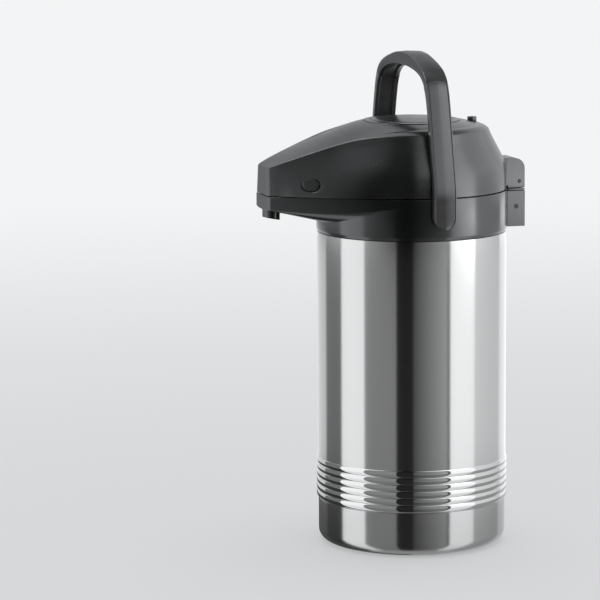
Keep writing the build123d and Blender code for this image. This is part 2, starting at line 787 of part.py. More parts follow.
# Hinge bracket: a hollow block screwed over the collar's lug, with the knuckle standing on it
with BuildPart() as hinge_bracket:
    add(block((-hinge_half, bracket_front, bracket_bottom), (hinge_half, hinge_rear, bracket_top)))
    fillet(hinge_bracket.edges().filter_by(Axis.Z).group_by(Axis.Y)[-1], BRACKET_ROUND)
    hollow_half = hinge_half - BRACKET_SIDE
    add(
        block(
            (-hollow_half, bracket_front, bracket_bottom + BRACKET_WALL),
            (hollow_half, hinge_rear - BRACKET_WALL, bracket_top - BRACKET_WALL),
        ),
        mode=Mode.SUBTRACT,
    )
    add(cross_rod(KNUCKLE_RADIUS, -tongue_half, tongue_half, hinge_y, hinge_z))
    add(
        block(
            (-tongue_half, hinge_y - KNUCKLE_RADIUS, bracket_top - BRACKET_WALL),
            (tongue_half, hinge_y + KNUCKLE_RADIUS, hinge_z),
        )
    )
    add(cross_rod(PIN_RADIUS, -hinge_half, hinge_half, hinge_y, hinge_z), mode=Mode.SUBTRACT)
    add(cross_rod(SCREW_SHANK, -hinge_half, hinge_half, bracket_screw_y, bracket_screw_z), mode=Mode.SUBTRACT)
    for side in (-1, 1):
        ends = sorted((side * (hinge_half - SCREW_HEAD_DEPTH), side * hinge_half))
        add(cross_rod(SCREW_HEAD, *ends, bracket_screw_y, bracket_screw_z), mode=Mode.SUBTRACT)
save(hinge_bracket, "hinge_bracket")

# The two side screws of the bracket, flush, each with a round socket
with BuildPart() as bracket_screws:
    for side in (-1, 1):
        head = sorted((side * (hinge_half - SCREW_HEAD_DEPTH), side * hinge_half))
        shank = sorted((side * (hinge_half - SCREW_LENGTH), side * (hinge_half - SCREW_HEAD_DEPTH)))
        socket = sorted((side * (hinge_half - SOCKET_DEPTH), side * hinge_half))
        add(cross_rod(SCREW_HEAD, *head, bracket_screw_y, bracket_screw_z))
        add(cross_rod(SCREW_SHANK, *shank, bracket_screw_y, bracket_screw_z))
        add(cross_rod(SOCKET_RADIUS, *socket, bracket_screw_y, bracket_screw_z), mode=Mode.SUBTRACT)
save(bracket_screws, "bracket_screws")

with BuildPart() as hinge_pin:
    add(cross_rod(PIN_RADIUS, PIN_SHORT - hinge_half, hinge_half - PIN_SHORT, hinge_y, hinge_z))
    chamfer(hinge_pin.edges().filter_by(GeomType.CIRCLE), PIN_SHORT)
save(hinge_pin, "hinge_pin")

# Lid shell with the upper half of the beak, the button's guide and the hinge ear
with BuildPart() as lid_shell:
    add(lid_body(0))
    with BuildSketch(Plane.YZ):
        with BuildLine():
            ear_round_y = hinge_rear - EAR_ROUND
            ear_top = parting + EAR_RISE
            Polyline(
                (ear_round_y, ear_top),
                (collar_inner - EAR_ROOT, ear_top),
                (collar_inner - EAR_ROOT, lid_bottom),
                (collar_radius + COLLAR_PROUD, lid_bottom),
                (collar_radius + COLLAR_PROUD, ear_bottom),
                (hinge_rear, ear_bottom),
                (hinge_rear, ear_top - EAR_ROUND),
            )
            RadiusArc((hinge_rear, ear_top - EAR_ROUND), (ear_round_y, ear_top), -EAR_ROUND)
        make_face()
    extrude(amount=hinge_half, both=True)
    add(lid_body(LID_WALL), mode=Mode.SUBTRACT)
    # Guide tube of the pump button, its hole and the slot that the lock's cam turns through
    add(ring(hole_radius, hole_radius + GUIDE_WALL, guide_bottom, hole_height - LID_WALL / 2))
    add(ring(0, hole_radius, guide_bottom, hole_height + LID_WALL), mode=Mode.SUBTRACT)
    cam_reach = CAM_LENGTH + CAM_SWEEP_GAP
    cam_space = (cam_bottom - CAM_SWEEP_GAP, cam_top + CAM_SWEEP_GAP)
    cam_back = lock_y + CAM_WIDTH / 2 + CAM_SWEEP_GAP
    cam_front = block((-cam_reach, lock_y - cam_reach, cam_space[0]), (cam_reach, cam_back, cam_space[1]))
    add(cam_front & ring(0, cam_reach, *cam_space, (0, lock_y)), mode=Mode.SUBTRACT)
    # Pocket and bore of the lock knob
    pocket = (lock_floor - LID_WALL, hole_height - TOP_RISE / 2)
    add(ring(0, LOCK_RECESS_RADIUS + LID_WALL / 2, *pocket, (0, lock_y)))
    add(ring(0, LOCK_RECESS_RADIUS, lock_floor, hole_height + LID_WALL, (0, lock_y)), mode=Mode.SUBTRACT)
    add(ring(0, LOCK_BORE, cam_top, lock_floor, (0, lock_y)), mode=Mode.SUBTRACT)
    # Screw posts
    for angle in POST_ANGLES:
        spot = (post_circle * cos(radians(angle)), post_circle * sin(radians(angle)))
        add(ring(0, POST_RADIUS, plate_top, crease_height, spot))
        add(ring(0, LID_SCREW, plate_top, plate_top + LID_SCREW_LENGTH, spot), mode=Mode.SUBTRACT)
    # Slot for the knuckle and the hinge pin's bore
    cheek = tongue_half + CHEEK_GAP
    knuckle_reach = KNUCKLE_RADIUS + KNUCKLE_GAP
    add(
        block(
            (-cheek, hinge_y - knuckle_reach, ear_bottom),
            (cheek, hinge_rear, hinge_z + knuckle_reach),
        ),
        mode=Mode.SUBTRACT,
    )
    add(cross_rod(PIN_RADIUS + PIN_FIT, -hinge_half, hinge_half, hinge_y, hinge_z), mode=Mode.SUBTRACT)
    # Oval recesses and openings of the release buttons
    recess = release_prism(RECESS_LONG, RECESS_TALL, -release_deep, RECESS_DEPTH + release_deep)
    opening = release_prism(RELEASE_LONG + RELEASE_FIT, RELEASE_TALL + RELEASE_FIT, 0, 2 * release_deep)
    for piece in both_sides(recess) + both_sides(opening):
        add(piece, mode=Mode.SUBTRACT)
save(lid_shell, "lid_shell")

# Lid plate: closes the lid from below and carries the air port, bellows and seal
with BuildPart() as lid_plate:
    add(seam_outline(plate_bottom, LID_WALL + PLATE_FIT + LID_STATIONS[0][1]))
    extrude(amount=PLATE_THICK)
    add(ring(seal_inner, seal_outer, seal_bottom + SEAL_THICK, plate_top, (0, PORT_Y)))
    add(ring(0, VALVE_STEM + VALVE_FIT, plate_bottom, plate_top, (0, PORT_Y)), mode=Mode.SUBTRACT)
    with BuildSketch(Plane.XY.offset(plate_bottom)):
        with Locations((0, PORT_Y)):
            with PolarLocations(AIR_HOLE_CIRCLE, AIR_HOLES):
                Circle(AIR_HOLE)
    extrude(amount=PLATE_THICK, mode=Mode.SUBTRACT)
    for angle in POST_ANGLES:
        spot = (post_circle * cos(radians(angle)), post_circle * sin(radians(angle)))
        add(ring(0, LID_SCREW, plate_bottom, plate_top, spot), mode=Mode.SUBTRACT)
    # Ways for the release buttons' arms
    arm_way = release_block(CATCH_WIDTH / 2, plate_bottom, plate_top, -release_deep, 3 * release_deep)
    for piece in both_sides(arm_way):
        add(piece, mode=Mode.SUBTRACT)
save(lid_plate, "lid_plate")

with BuildPart() as lid_seal:
    add(ring(seal_inner, seal_outer, seal_bottom, seal_bottom + SEAL_THICK, (0, PORT_Y)))
save(lid_seal, "lid_seal")

with BuildPart() as lid_screws:
    for angle in POST_ANGLES:
        spot = (post_circle * cos(radians(angle)), post_circle * sin(radians(angle)))
        add(ring(0, LID_SCREW_HEAD, plate_bottom - LID_SCREW_HEAD_THICK, plate_bottom, spot))
        add(ring(0, LID_SCREW, plate_bottom, plate_bottom + LID_SCREW_LENGTH, spot))
save(lid_screws, "lid_screws")

# Umbrella valve in the air port: a stem through the plate with a disc below and a head above
with BuildPart() as air_valve:
    disc_top = plate_bottom - VALVE_SPARE
    head_bottom = plate_top + VALVE_TRAVEL + VALVE_SPARE
    add(ring(0, VALVE_DISC, disc_top - VALVE_DISC_THICK, disc_top, (0, PORT_Y)))
    add(ring(0, VALVE_STEM, disc_top, head_bottom, (0, PORT_Y)))
    add(ring(0, VALVE_HEAD, head_bottom, head_bottom + VALVE_HEAD_THICK, (0, PORT_Y)))
save(air_valve, "air_valve")

# Ring that clamps the bellows to the plate
with BuildPart() as bellows_clamp:
    clamp_outer = BELLOWS_RADIUS + CLAMP_WIDTH
    add(ring(clamp_outer - 2 * CLAMP_WIDTH, clamp_outer, plate_top, bellows_bottom))
save(bellows_clamp, "bellows_clamp")

# Bellows between the clamp and the button
with BuildPart() as bellows:
    fold_height = (bellows_top - bellows_bottom) / BELLOWS_FOLDS
    valley = BELLOWS_RADIUS - BELLOWS_FOLD
    outside = [(valley, bellows_bottom)]
    for i in range(BELLOWS_FOLDS):
        outside.append((BELLOWS_RADIUS, bellows_bottom + (i + 0.5) * fold_height))
        outside.append((valley, bellows_bottom + (i + 1) * fold_height))
    inside = [(radius - BELLOWS_WALL, height) for radius, height in reversed(outside)]
    add(turned(outside + inside))
save(bellows, "bellows")


def helix_route(radius, low, high, turns):
    """A helix made of pairs of arcs, one pair for each quarter turn."""
    quarters = 4 * turns
    rise = (high - low) / quarters
    slope = rise / (radius * radians(90))
    half = radians(45)

    def junction_error(reach):
        """How far the first arc's end tangent is from square to the radius at the junction."""
        start = Vector(radius * cos(half), -radius * sin(half), -rise / 2)
        heading = Vector(sin(half), cos(half), slope).normalized()
        chord = (Vector(reach, 0, 0) - start).normalized()
        return (chord * (2 * heading.dot(chord)) - heading).X

    near, far = 0.9 * radius, 1.1 * radius
    for _ in range(60):
        middle = (near + far) / 2
        if junction_error(near) * junction_error(middle) > 0:
            near = middle
        else:
            far = middle
    reach = (near + far) / 2
    for i in range(quarters):
        start_turn, mid_turn, end_turn = [radians(90) * (i + step) for step in (0, 0.5, 1)]
        start = (radius * cos(start_turn), radius * sin(start_turn), low + i * rise)
        mid = (reach * cos(mid_turn), reach * sin(mid_turn), low + (i + 0.5) * rise)
        end = (radius * cos(end_turn), radius * sin(end_turn), low + (i + 1) * rise)
        heading = (-sin(start_turn), cos(start_turn), slope)
        first = TangentArc(start, mid, tangent=heading)
        TangentArc(mid, end, tangent=first % 1)


# Return spring inside the bellows, one unbroken wire
with BuildPart() as pump_spring:
    with BuildLine() as wire:
        helix_route(SPRING_RADIUS, plate_top + SPRING_WIRE, bellows_top - SPRING_WIRE, SPRING_TURNS)
    with BuildSketch(Plane(origin=wire.line @ 0, z_dir=wire.line % 0)):
        Circle(SPRING_WIRE)
    sweep(path=wire.line)
save(pump_spring, "pump_spring")

# Pump button: a crowned disc with a skirt and a boss for the bellows
with BuildPart() as pump_button:
    with BuildSketch(Plane.XZ):
        with BuildLine():
            crown_top = button_edge + BUTTON_CROWN
            edge_point = (BUTTON_RADIUS, button_edge)
            chord = sqrt(BUTTON_RADIUS ** 2 + BUTTON_CROWN ** 2)
            crown_radius = chord ** 2 / (2 * BUTTON_CROWN)
            RadiusArc((0, crown_top), edge_point, crown_radius)
            skirt_inner = BUTTON_RADIUS - SKIRT_WALL
            boss_outer = BELLOWS_RADIUS
            boss_inner = BELLOWS_RADIUS - BELLOWS_FOLD - 2 * BELLOWS_WALL
            under = button_edge - BUTTON_THICK
            Polyline(
                edge_point,
                (BUTTON_RADIUS, skirt_bottom),
                (skirt_inner, skirt_bottom),
                (skirt_inner, under),
                (boss_outer, under),
                (boss_outer, bellows_top),
                (boss_inner, bellows_top),
                (boss_inner, under),
                (0, under),
                (0, crown_top),
            )
        make_face()
    revolve(axis=Axis.Z)
    groove_outer = BUTTON_RADIUS - GROOVE_INSET
    groove_top = crown_radius - sqrt(crown_radius ** 2 - groove_outer ** 2)
    groove_low = crown_top - groove_top - GROOVE_DEPTH
    add(ring(groove_outer - GROOVE_WIDTH, groove_outer, groove_low, crown_top), mode=Mode.SUBTRACT)
save(pump_button, "pump_button")

# Lock knob and the cam on its shaft
with BuildPart() as lock_knob:
    knob_floor = lock_floor + CAM_SWEEP_GAP / 2
    add(ring(0, KNOB_RADIUS, knob_floor, knob_floor + KNOB_HEIGHT, (0, lock_y)))
    add(ring(0, LOCK_SHAFT, cam_bottom, knob_floor, (0, lock_y)))
    chamfer(lock_knob.edges().group_by(Axis.Z)[-1], KNOB_CAP / 4)
    marker = block(
        (-KNOB_CAP / 4, lock_y - KNOB_RADIUS, knob_floor + KNOB_HEIGHT - KNOB_CAP / 2),
        (KNOB_CAP / 4, lock_y, knob_floor + KNOB_HEIGHT),
    )
    add(marker, mode=Mode.SUBTRACT)
save(lock_knob, "lock_knob")

with BuildPart() as lock_cam:
    with BuildSketch(Plane.XY.offset(cam_bottom)):
        with Locations((CAM_LENGTH / 2 - CAM_WIDTH / 4, lock_y)):
            SlotOverall(CAM_LENGTH + CAM_WIDTH / 2, CAM_WIDTH)
    extrude(amount=CAM_THICK)
    add(ring(0, LOCK_SHAFT, cam_bottom, cam_top, (0, lock_y)), mode=Mode.SUBTRACT)
save(lock_cam, "lock_cam")

# Release buttons: an oval button, a stem into the beak and an arm down past the collar's catch
with BuildPart() as release_button:
    add(release_prism(RELEASE_LONG, RELEASE_TALL, -RELEASE_PROUD, release_deep + RELEASE_PROUD))
    arm_start = wall_depth + CATCH_REACH + CATCH_GAP
    add(release_block(ARM_WIDTH / 2, arm_bottom, release_z + ARM_THICK, arm_start, ARM_THICK))
    bridge = (release_deep / 2, arm_start + ARM_THICK - release_deep / 2)
    add(release_block(ARM_WIDTH / 2, release_z - ARM_THICK, release_z + ARM_THICK, *bridge))
save(release_button, "release_button_right")

with BuildPart() as release_button_left:
    mirror(release_button.part, about=Plane.YZ)
save(release_button_left, "release_button_left")


def handle_face():
    """Front view of the whole handle, in millimetres from its pivot: legs and flattened arch."""
    top_x = leg_outer - LEG_TOP_IN
    shoulder_x = leg_outer - ARCH_SHOULDER_IN
    with BuildSketch(Plane.XZ.offset(-LEG_WIDTH / 2)) as face:
        with BuildLine():
            outer_points = [
                (leg_outer, pivot_z),
                (leg_outer, pivot_z + LEG_BEND),
                (top_x, pivot_z + LEG_TOP_HEIGHT),
                (shoulder_x, pivot_z + ARCH_TOP - ARCH_DROP),
                (0, pivot_z + ARCH_TOP),
            ]
            side_line = Polyline(*outer_points[:3])
            crown = TangentArc(outer_points[4], outer_points[3], tangent=(1, 0))
            TangentArc(crown @ 1, side_line @ 1, tangent=crown % 1)
            inner_points = [
                (leg_inner, pivot_z),
                (leg_inner, pivot_z + LEG_INNER_BEND),
                (top_x - LEG_TOP_THICK, pivot_z + LEG_TOP_HEIGHT),
                (shoulder_x - ARCH_THICK / 2, pivot_z + ARCH_TOP - ARCH_DROP - LEG_TOP_THICK),
                (0, pivot_z + ARCH_TOP - ARCH_THICK),
            ]
            inner_line = Polyline(*inner_points[:3])
            inner_crown = TangentArc(inner_points[4], inner_points[3], tangent=(1, 0))
            TangentArc(inner_crown @ 1, inner_line @ 1, tangent=inner_crown % 1)
            Line(outer_points[0], inner_points[0])
            mirror(about=Plane.YZ)
        make_face()
    return face.sketch


def handle_bar():
    """The whole handle as one bar with rounded lower ends."""
    with BuildPart() as bar:
        extrude(handle_face().face(), amount=LEG_WIDTH)
        for low, high in ((leg_inner, leg_outer), (-leg_outer, -leg_inner)):
            add(cross_rod(LEG_WIDTH / 2, low, high, 0, pivot_z))
    return bar.part


seam_angle = radians(GRIP_SEAM_ANGLE)
seam_x = leg_outer - GRIP_SEAM_IN
seam_z = pivot_z + GRIP_SEAM_HEIGHT
right_seam = Plane(origin=(seam_x, 0, seam_z), x_dir=(0, 1, 0), z_dir=(-sin(seam_angle), 0, cos(seam_angle)))
left_seam = Plane(origin=(-seam_x, 0, seam_z), x_dir=(0, 1, 0), z_dir=(sin(seam_angle), 0, cos(seam_angle)))

with BuildPart() as handle_grip:
    add(handle_bar())
    split(bisect_by=right_seam, keep=Keep.TOP)
    split(bisect_by=left_seam, keep=Keep.TOP)
save(handle_grip, "handle_grip")

# Handle legs with the stubs that turn in the collar
with BuildPart() as handle_leg_right:
    add(handle_bar())
    split(bisect_by=Plane.YZ, keep=Keep.TOP)
    split(bisect_by=right_seam, keep=Keep.BOTTOM)
    add(cross_rod(STUB_RADIUS, stub_end, leg_inner + LEG_THICK / 2, 0, pivot_z))
save(handle_leg_right, "handle_leg_right")

with BuildPart() as handle_leg_left:
    mirror(handle_leg_right.part, about=Plane.YZ)
save(handle_leg_left, "handle_leg_left")
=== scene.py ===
import json
import math

import bmesh
import bpy
import numpy as np
from mathutils import Matrix, Vector

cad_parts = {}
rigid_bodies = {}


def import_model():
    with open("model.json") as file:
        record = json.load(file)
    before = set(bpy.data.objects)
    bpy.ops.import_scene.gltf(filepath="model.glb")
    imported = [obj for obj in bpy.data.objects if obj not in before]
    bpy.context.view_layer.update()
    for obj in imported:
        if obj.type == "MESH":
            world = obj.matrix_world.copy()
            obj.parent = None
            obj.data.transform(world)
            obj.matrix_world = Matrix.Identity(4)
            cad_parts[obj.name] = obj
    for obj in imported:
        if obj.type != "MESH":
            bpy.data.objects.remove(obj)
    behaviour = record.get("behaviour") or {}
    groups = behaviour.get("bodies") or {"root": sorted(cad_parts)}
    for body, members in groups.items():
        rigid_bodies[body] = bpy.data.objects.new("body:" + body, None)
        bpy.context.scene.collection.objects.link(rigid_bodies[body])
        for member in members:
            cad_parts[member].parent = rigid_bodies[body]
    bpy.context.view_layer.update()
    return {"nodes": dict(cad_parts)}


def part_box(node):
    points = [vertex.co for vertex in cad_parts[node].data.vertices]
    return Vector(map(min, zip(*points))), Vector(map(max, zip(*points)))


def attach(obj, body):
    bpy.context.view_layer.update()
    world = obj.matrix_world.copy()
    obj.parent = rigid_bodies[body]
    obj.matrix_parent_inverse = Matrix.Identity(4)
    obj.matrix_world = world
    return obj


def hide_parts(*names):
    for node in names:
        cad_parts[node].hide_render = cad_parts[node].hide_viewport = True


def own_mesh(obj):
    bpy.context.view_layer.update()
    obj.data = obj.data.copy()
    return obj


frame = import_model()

# A pump airpot: brushed stainless steel body, moulded dark plastic collar, lid and bail handle.
# The pot stands on z = 0 with its axis at x = y = 0, its beak towards -Y and its hinge towards +Y.
# The scene is in metres. Named sizes are in metres for the studio and in millimetres for the pot itself.

mm = 0.001
# Points closer than these, in metres, become one: in a new mesh, and in a copy of a CAD node
JOIN = 1e-6
COPY_JOIN = 2e-6
# Edges sharper than this, in degrees, stay sharp: on turned pieces and copies, and on carved or softened ones
CREASE, BAKED_CREASE = 32.0, 30.0
# Corners sharper than this, in degrees, are softened, in this many steps
SOFT_FROM, SOFT_STEPS = 35.0, 3
# Points round the body, and round a small circle such as a peg
BODY_STEPS = 256
CIRCLE_STEPS = 64


def linear(hex_colour):
    """The linear colour of an sRGB hex value: each channel c becomes c/12.92 or ((c + 0.055)/1.055)^2.4."""
    channels = [int(hex_colour[i:i + 2], 16) / 255 for i in (1, 3, 5)]
    return [c / 12.92 if c <= 0.04045 else ((c + 0.055) / 1.055) ** 2.4 for c in channels] + [1.0]


def add(material, kind, links=None, **settings):
    """Adds a shader node. Settings name its properties or input sockets, and links name sockets and their
    sources. A node given as a source stands for its first output."""
    node = material.node_tree.nodes.new("ShaderNode" + kind)
    for key, value in settings.items():
        if hasattr(node, key):
            setattr(node, key, value)
        else:
            node.inputs[key.replace("_", " ")].default_value = value
    for socket, source in (links or {}).items():
        material.node_tree.links.new(getattr(source, "outputs", (source,))[0], node.inputs[socket])
    return node


def new_material(name):
    """An empty node material."""
    material = bpy.data.materials.new(name)
    material.use_nodes = True
    material.node_tree.nodes.clear()
    return material


def shown(name, data):
    """A new object with this data, linked into the scene."""
    piece = bpy.data.objects.new(name, data)
    bpy.context.collection.objects.link(piece)
    return piece


def place_mesh(name, vertices, faces, ends=(), smooth=True):
    """A mesh object at the origin from plain arrays. Ends are further faces, with any number of corners."""
    mesh = bpy.data.meshes.new(name)
    mesh.from_pydata(np.asarray(vertices).tolist(), [], np.asarray(faces).tolist() + list(ends))
    mesh.validate()
    if smooth:
        mesh.shade_smooth()
    return shown(name, mesh)


def grid_faces(rows, columns, wrap=True):
    """Quads between neighbouring points of a grid, closed round the columns when wrap is set."""
    across = columns if wrap else columns - 1
    row, column = np.meshgrid(np.arange(rows - 1), np.arange(across), indexing="ij")
    after = (column + 1) % columns
    return np.stack([row * columns + column, row * columns + after,
                     (row + 1) * columns + after, (row + 1) * columns + column], axis=-1).reshape(-1, 4)


def mesh_values(items, name, width, kind=float):
    """One value of every item of a mesh, as an array with this many columns."""
    values = np.empty(len(items) * width, dtype=kind)
    items.foreach_get(name, values)
    return values.reshape(-1, width) if width > 1 else values


def mended(mesh, join=None, outwards=True):
    """Makes points closer than join one, where it is given, and turns the mesh's faces outwards."""
    work = bmesh.new()
    work.from_mesh(mesh)
    if join:
        bmesh.ops.remove_doubles(work, verts=work.verts, dist=join)
    if outwards:
        bmesh.ops.recalc_face_normals(work, faces=work.faces)
    work.to_mesh(mesh)
    work.free()


def creased(mesh, angle):
    """Shades the mesh smooth, and leaves edges sharper than this angle in degrees sharp."""
    mesh.shade_smooth()
    mesh.set_sharp_from_angle(angle=math.radians(angle))


def closed(piece, crease=CREASE):
    """The piece with its doubled points joined, its faces pointing outwards and its corners kept crisp."""
    mended(piece.data, JOIN)
    creased(piece.data, crease)
    return piece


def turn(count):
    """Angles of points spread evenly round a circle, in radians."""
    return np.linspace(0.0, 2 * math.pi, count, endpoint=False)


def turned(name, profile, segments=BODY_STEPS):
    """A closed ring turned about the pot's axis, in millimetres: point (r, z) of the profile goes to
    (r cos a, r sin a, z) for each angle a."""
    profile = np.asarray(profile) * mm
    angle = turn(segments)
    ring = np.stack([np.outer(profile[:, 0], np.cos(angle)), np.outer(profile[:, 0], np.sin(angle)),
                     np.repeat(profile[:, 1:2], segments, axis=1)], axis=-1)
    count = len(profile)
    faces = grid_faces(count + 1, segments) % (count * segments)
    return closed(place_mesh(name, ring.reshape(-1, 3), faces))


def prism(name, outline, shift, flare=0.0):
    """A closed prism in millimetres: the outline's points, and the same points moved by shift and spread by
    flare from their middle."""
    outline = np.asarray(outline) * mm
    middle = outline.mean(axis=0)
    far = middle + (outline - middle) * (1.0 + flare) + np.asarray(shift) * mm
    count = len(outline)
    ends = (list(range(count))[::-1], list(range(count, 2 * count)))
    piece = place_mesh(name, np.concatenate([outline, far]), grid_faces(2, count), ends, smooth=False)
    mended(piece.data)
    return piece


def disc(name, radius, centre, low, high):
    """A closed upright disc in millimetres: its rim is (cx + r cos a, cy + r sin a), from low to high."""
    a = turn(CIRCLE_STEPS)
    x, y = centre[0] + radius * np.cos(a), centre[1] + radius * np.sin(a)
    return prism(name, np.column_stack([x, y, np.full_like(a, low)]), (0, 0, high - low))


def block(name, x, y, z):
    """A closed box in millimetres between these pairs of places along the axes."""
    corners = [(x[i], y[j], z[0]) for i, j in ((0, 0), (1, 0), (1, 1), (0, 1))]
    return prism(name, corners, (0, 0, z[1] - z[0]))


def peg(name, radius, start, length, y, z, steps=CIRCLE_STEPS):
    """A closed peg along X in millimetres, from x = start: its rim is (y + r cos a, z + r sin a)."""
    a = turn(steps)
    rim = np.column_stack([np.full_like(a, start), y + radius * np.cos(a), z + radius * np.sin(a)])
    return prism(name, rim, (length, 0, 0))


def baked(piece):
    """The piece with its modifiers made part of its mesh."""
    mesh = bpy.data.meshes.new_from_object(piece.evaluated_get(bpy.context.evaluated_depsgraph_get()))
    piece.modifiers.clear()
    piece.data = mesh
    creased(mesh, BAKED_CREASE)
    return piece


def carved(piece, cutters):
    """The piece with every cutter's volume taken out of it."""
    for cutter in cutters:
        cut = piece.modifiers.new("cut", "BOOLEAN")
        cut.operation, cut.solver, cut.object = "DIFFERENCE", "EXACT", cutter
    baked(piece)
    for cutter in cutters:
        bpy.data.objects.remove(cutter)
    return piece


def softened(piece, width):
    """The piece with its sharp corners rounded by this width in millimetres."""
    soften = piece.modifiers.new("soft_edges", "BEVEL")
    soften.width, soften.segments = width * mm, SOFT_STEPS
    soften.limit_method, soften.angle_limit = "ANGLE", math.radians(SOFT_FROM)
    return baked(piece)


def through(points, count):
    """Catmull-Rom curve through the points: each span is the cubic that meets its neighbours smoothly.

    Beyond each end one more point is added in line. The count rows are spread evenly over the stations.
    """
    points = np.asarray(points, dtype=float)
    ends = np.concatenate([2 * points[:1] - points[1:2], points, 2 * points[-1:] - points[-2:-1]])
    place = np.linspace(0.0, len(points) - 1.0, count)
    span = np.minimum(place.astype(int), len(points) - 2)
    t = (place - span)[:, None]
    p0, p1, p2, p3 = (ends[span + k] for k in range(4))
    square, cube = 2 * p0 - 5 * p1 + 4 * p2 - p3, 3 * p1 - p0 - 3 * p2 + p3
    return 0.5 * (2 * p1 + (p2 - p0) * t + square * t ** 2 + cube * t ** 3)


# Camera: the photograph's own view, nearly 3 m away and looking down. Angles are in degrees.
# It stands at CAMERA_BEARING round the pot and looks past the pot's axis by CAMERA_ASIDE.
CAMERA_PLACE = (2.8178, -0.9428, 0.6685)
CAMERA_BEARING = 18.5
CAMERA_ASIDE = 1.8805
CAMERA_PITCH = 8.7244
CAMERA_ROLL = -0.2864
CAMERA_LENS = 206.23

yaw, pitch, roll = (math.radians(a) for a in (CAMERA_BEARING - CAMERA_ASIDE, CAMERA_PITCH, CAMERA_ROLL))
forward = Vector((-math.cos(yaw) * math.cos(pitch), math.sin(yaw) * math.cos(pitch), -math.sin(pitch)))
level_right = Vector((math.sin(yaw), math.cos(yaw), 0.0))
level_up = level_right.cross(forward)
right = math.cos(roll) * level_right + math.sin(roll) * level_up
up = -math.sin(roll) * level_right + math.cos(roll) * level_up
camera = shown("camera", bpy.data.cameras.new("camera"))
turned_to_pot = Matrix((right, up, -forward)).transposed().to_4x4()
camera.matrix_world = Matrix.Translation(CAMERA_PLACE) @ turned_to_pot
camera.data.lens = CAMERA_LENS
camera.data.sensor_width = 36.0
camera.data.clip_end = 200.0
bpy.context.scene.camera = camera
bpy.context.scene.view_settings.view_transform = "Standard"

# Floor: pale and matt, with the pot's shadow near it, turning into a plain white backdrop far off
FLOOR_HALF = 60
FLOOR_Z = -0.0002
# The backdrop's share of what the camera sees, from the first distance on, grows to all at the second
NEAR_SHARE = 0.4
NEAR_REACH, FAR_REACH = 0.3, 2.6
WORLD_STRENGTH = 0.6

pale = new_material("pale_floor")
matt = add(pale, "BsdfDiffuse", Color=linear("#ededee"))
seen = add(pale, "LightPath")
floor_place = add(pale, "TexCoord")
away = add(pale, "VectorMath", {0: floor_place.outputs["Object"]}, operation="LENGTH")
far_off = add(pale, "MapRange", {"Value": away.outputs["Value"]}, From_Min=NEAR_REACH, From_Max=FAR_REACH,
              To_Min=NEAR_SHARE, To_Max=1.0, interpolation_type="SMOOTHSTEP")
share = add(pale, "Math", {0: far_off, 1: seen}, operation="MULTIPLY")
backdrop = add(pale, "Emission", Color=linear("#f3f4f5"), Strength=1.0)
floor_mix = add(pale, "MixShader", {"Fac": share, 1: matt, 2: backdrop})
add(pale, "OutputMaterial", {"Surface": floor_mix})
floor_corners = [(x * FLOOR_HALF, y * FLOOR_HALF, FLOOR_Z) for x, y in ((-1, -1), (1, -1), (1, 1), (-1, 1))]
floor = place_mesh("floor", floor_corners, [(0, 1, 2, 3)])
floor.data.materials.append(pale)
floor.visible_glossy = False

world = bpy.data.worlds.new("studio")
bpy.context.scene.world = world
world.use_nodes = True
background = world.node_tree.nodes["Background"]
background.inputs["Color"].default_value = linear("#f4f5f6")
background.inputs["Strength"].default_value = WORLD_STRENGTH

# Studio cards: glowing strips round the pot, for the steel's bands and the plastic's sheen
CARD_RADIUS = 0.32
CARD_STEPS = 24
CARD_LEVEL = 1.5
CARD_TINT = (0.975, 1.0, 1.02)
# What is left of the table's glow at the foot of the cards
TABLE_FADE = 0.8
# Heights of the cards' rows: an upright wall shows what lies about 0.037 m below it
CARD_FOOT, TABLE_TOP, STEEL_FOOT, STEEL_TOP = -0.6, -0.004, 0.012, 0.24
COLLAR_FOOT, COLLAR_TOP = 0.248, 0.267
LID_FOOT, LID_MIDDLE, LID_TOP = 0.274, 0.33, 0.38
SKY_FOOT, SKY_TOP, CARD_TOP = 0.6, 0.75, 1.2
# Each card: bearings of its start and end, steel, collar and lid levels there, and foot, sky and table shares
CARDS = (
    (-180, -115, (0.70, 0.66), (0.45, 0.30), (0.40, 0.30), 1.0, 2.0, 0.10),
    (-115, -84, (0.20, 0.20), (0.45, 0.70), (0.50, 0.90), 1.0, 9.0, 0.20),
    (-84, -52, (1.20, 1.15), (1.40, 1.10), (1.30, 1.10), 1.0, 6.0, 0.85),
    (-52, -16, (0.28, 0.28), (0.60, 0.00), (0.50, 0.00), 0.8, 1.5, 0.80),
    (-16, 2, (0.022, 0.022), (0.0, 0.0), (0.0, 0.0), 1.0, 1.0, 1.00),
    (2, 38.5, (0.09, 0.42), (0.00, 0.20), (0.00, 1.35), 0.1, 0.4, 0.60),
    (38.5, 42, (0.12, 0.12), (0.20, 0.30), (1.10, 1.30), 0.2, 0.3, 0.60),
    (42, 73, (1.28, 1.28), (0.50, 4.60), (1.70, 1.90), 1.3, 0.3, 0.70),
    (73, 121, (0.86, 0.66), (1.20, 0.40), (1.20, 1.10), 0.8, 0.3, 0.45),
    (121, 180, (0.95, 0.90), (1.50, 0.60), (0.80, 0.45), 1.0, 0.4, 0.50),
)


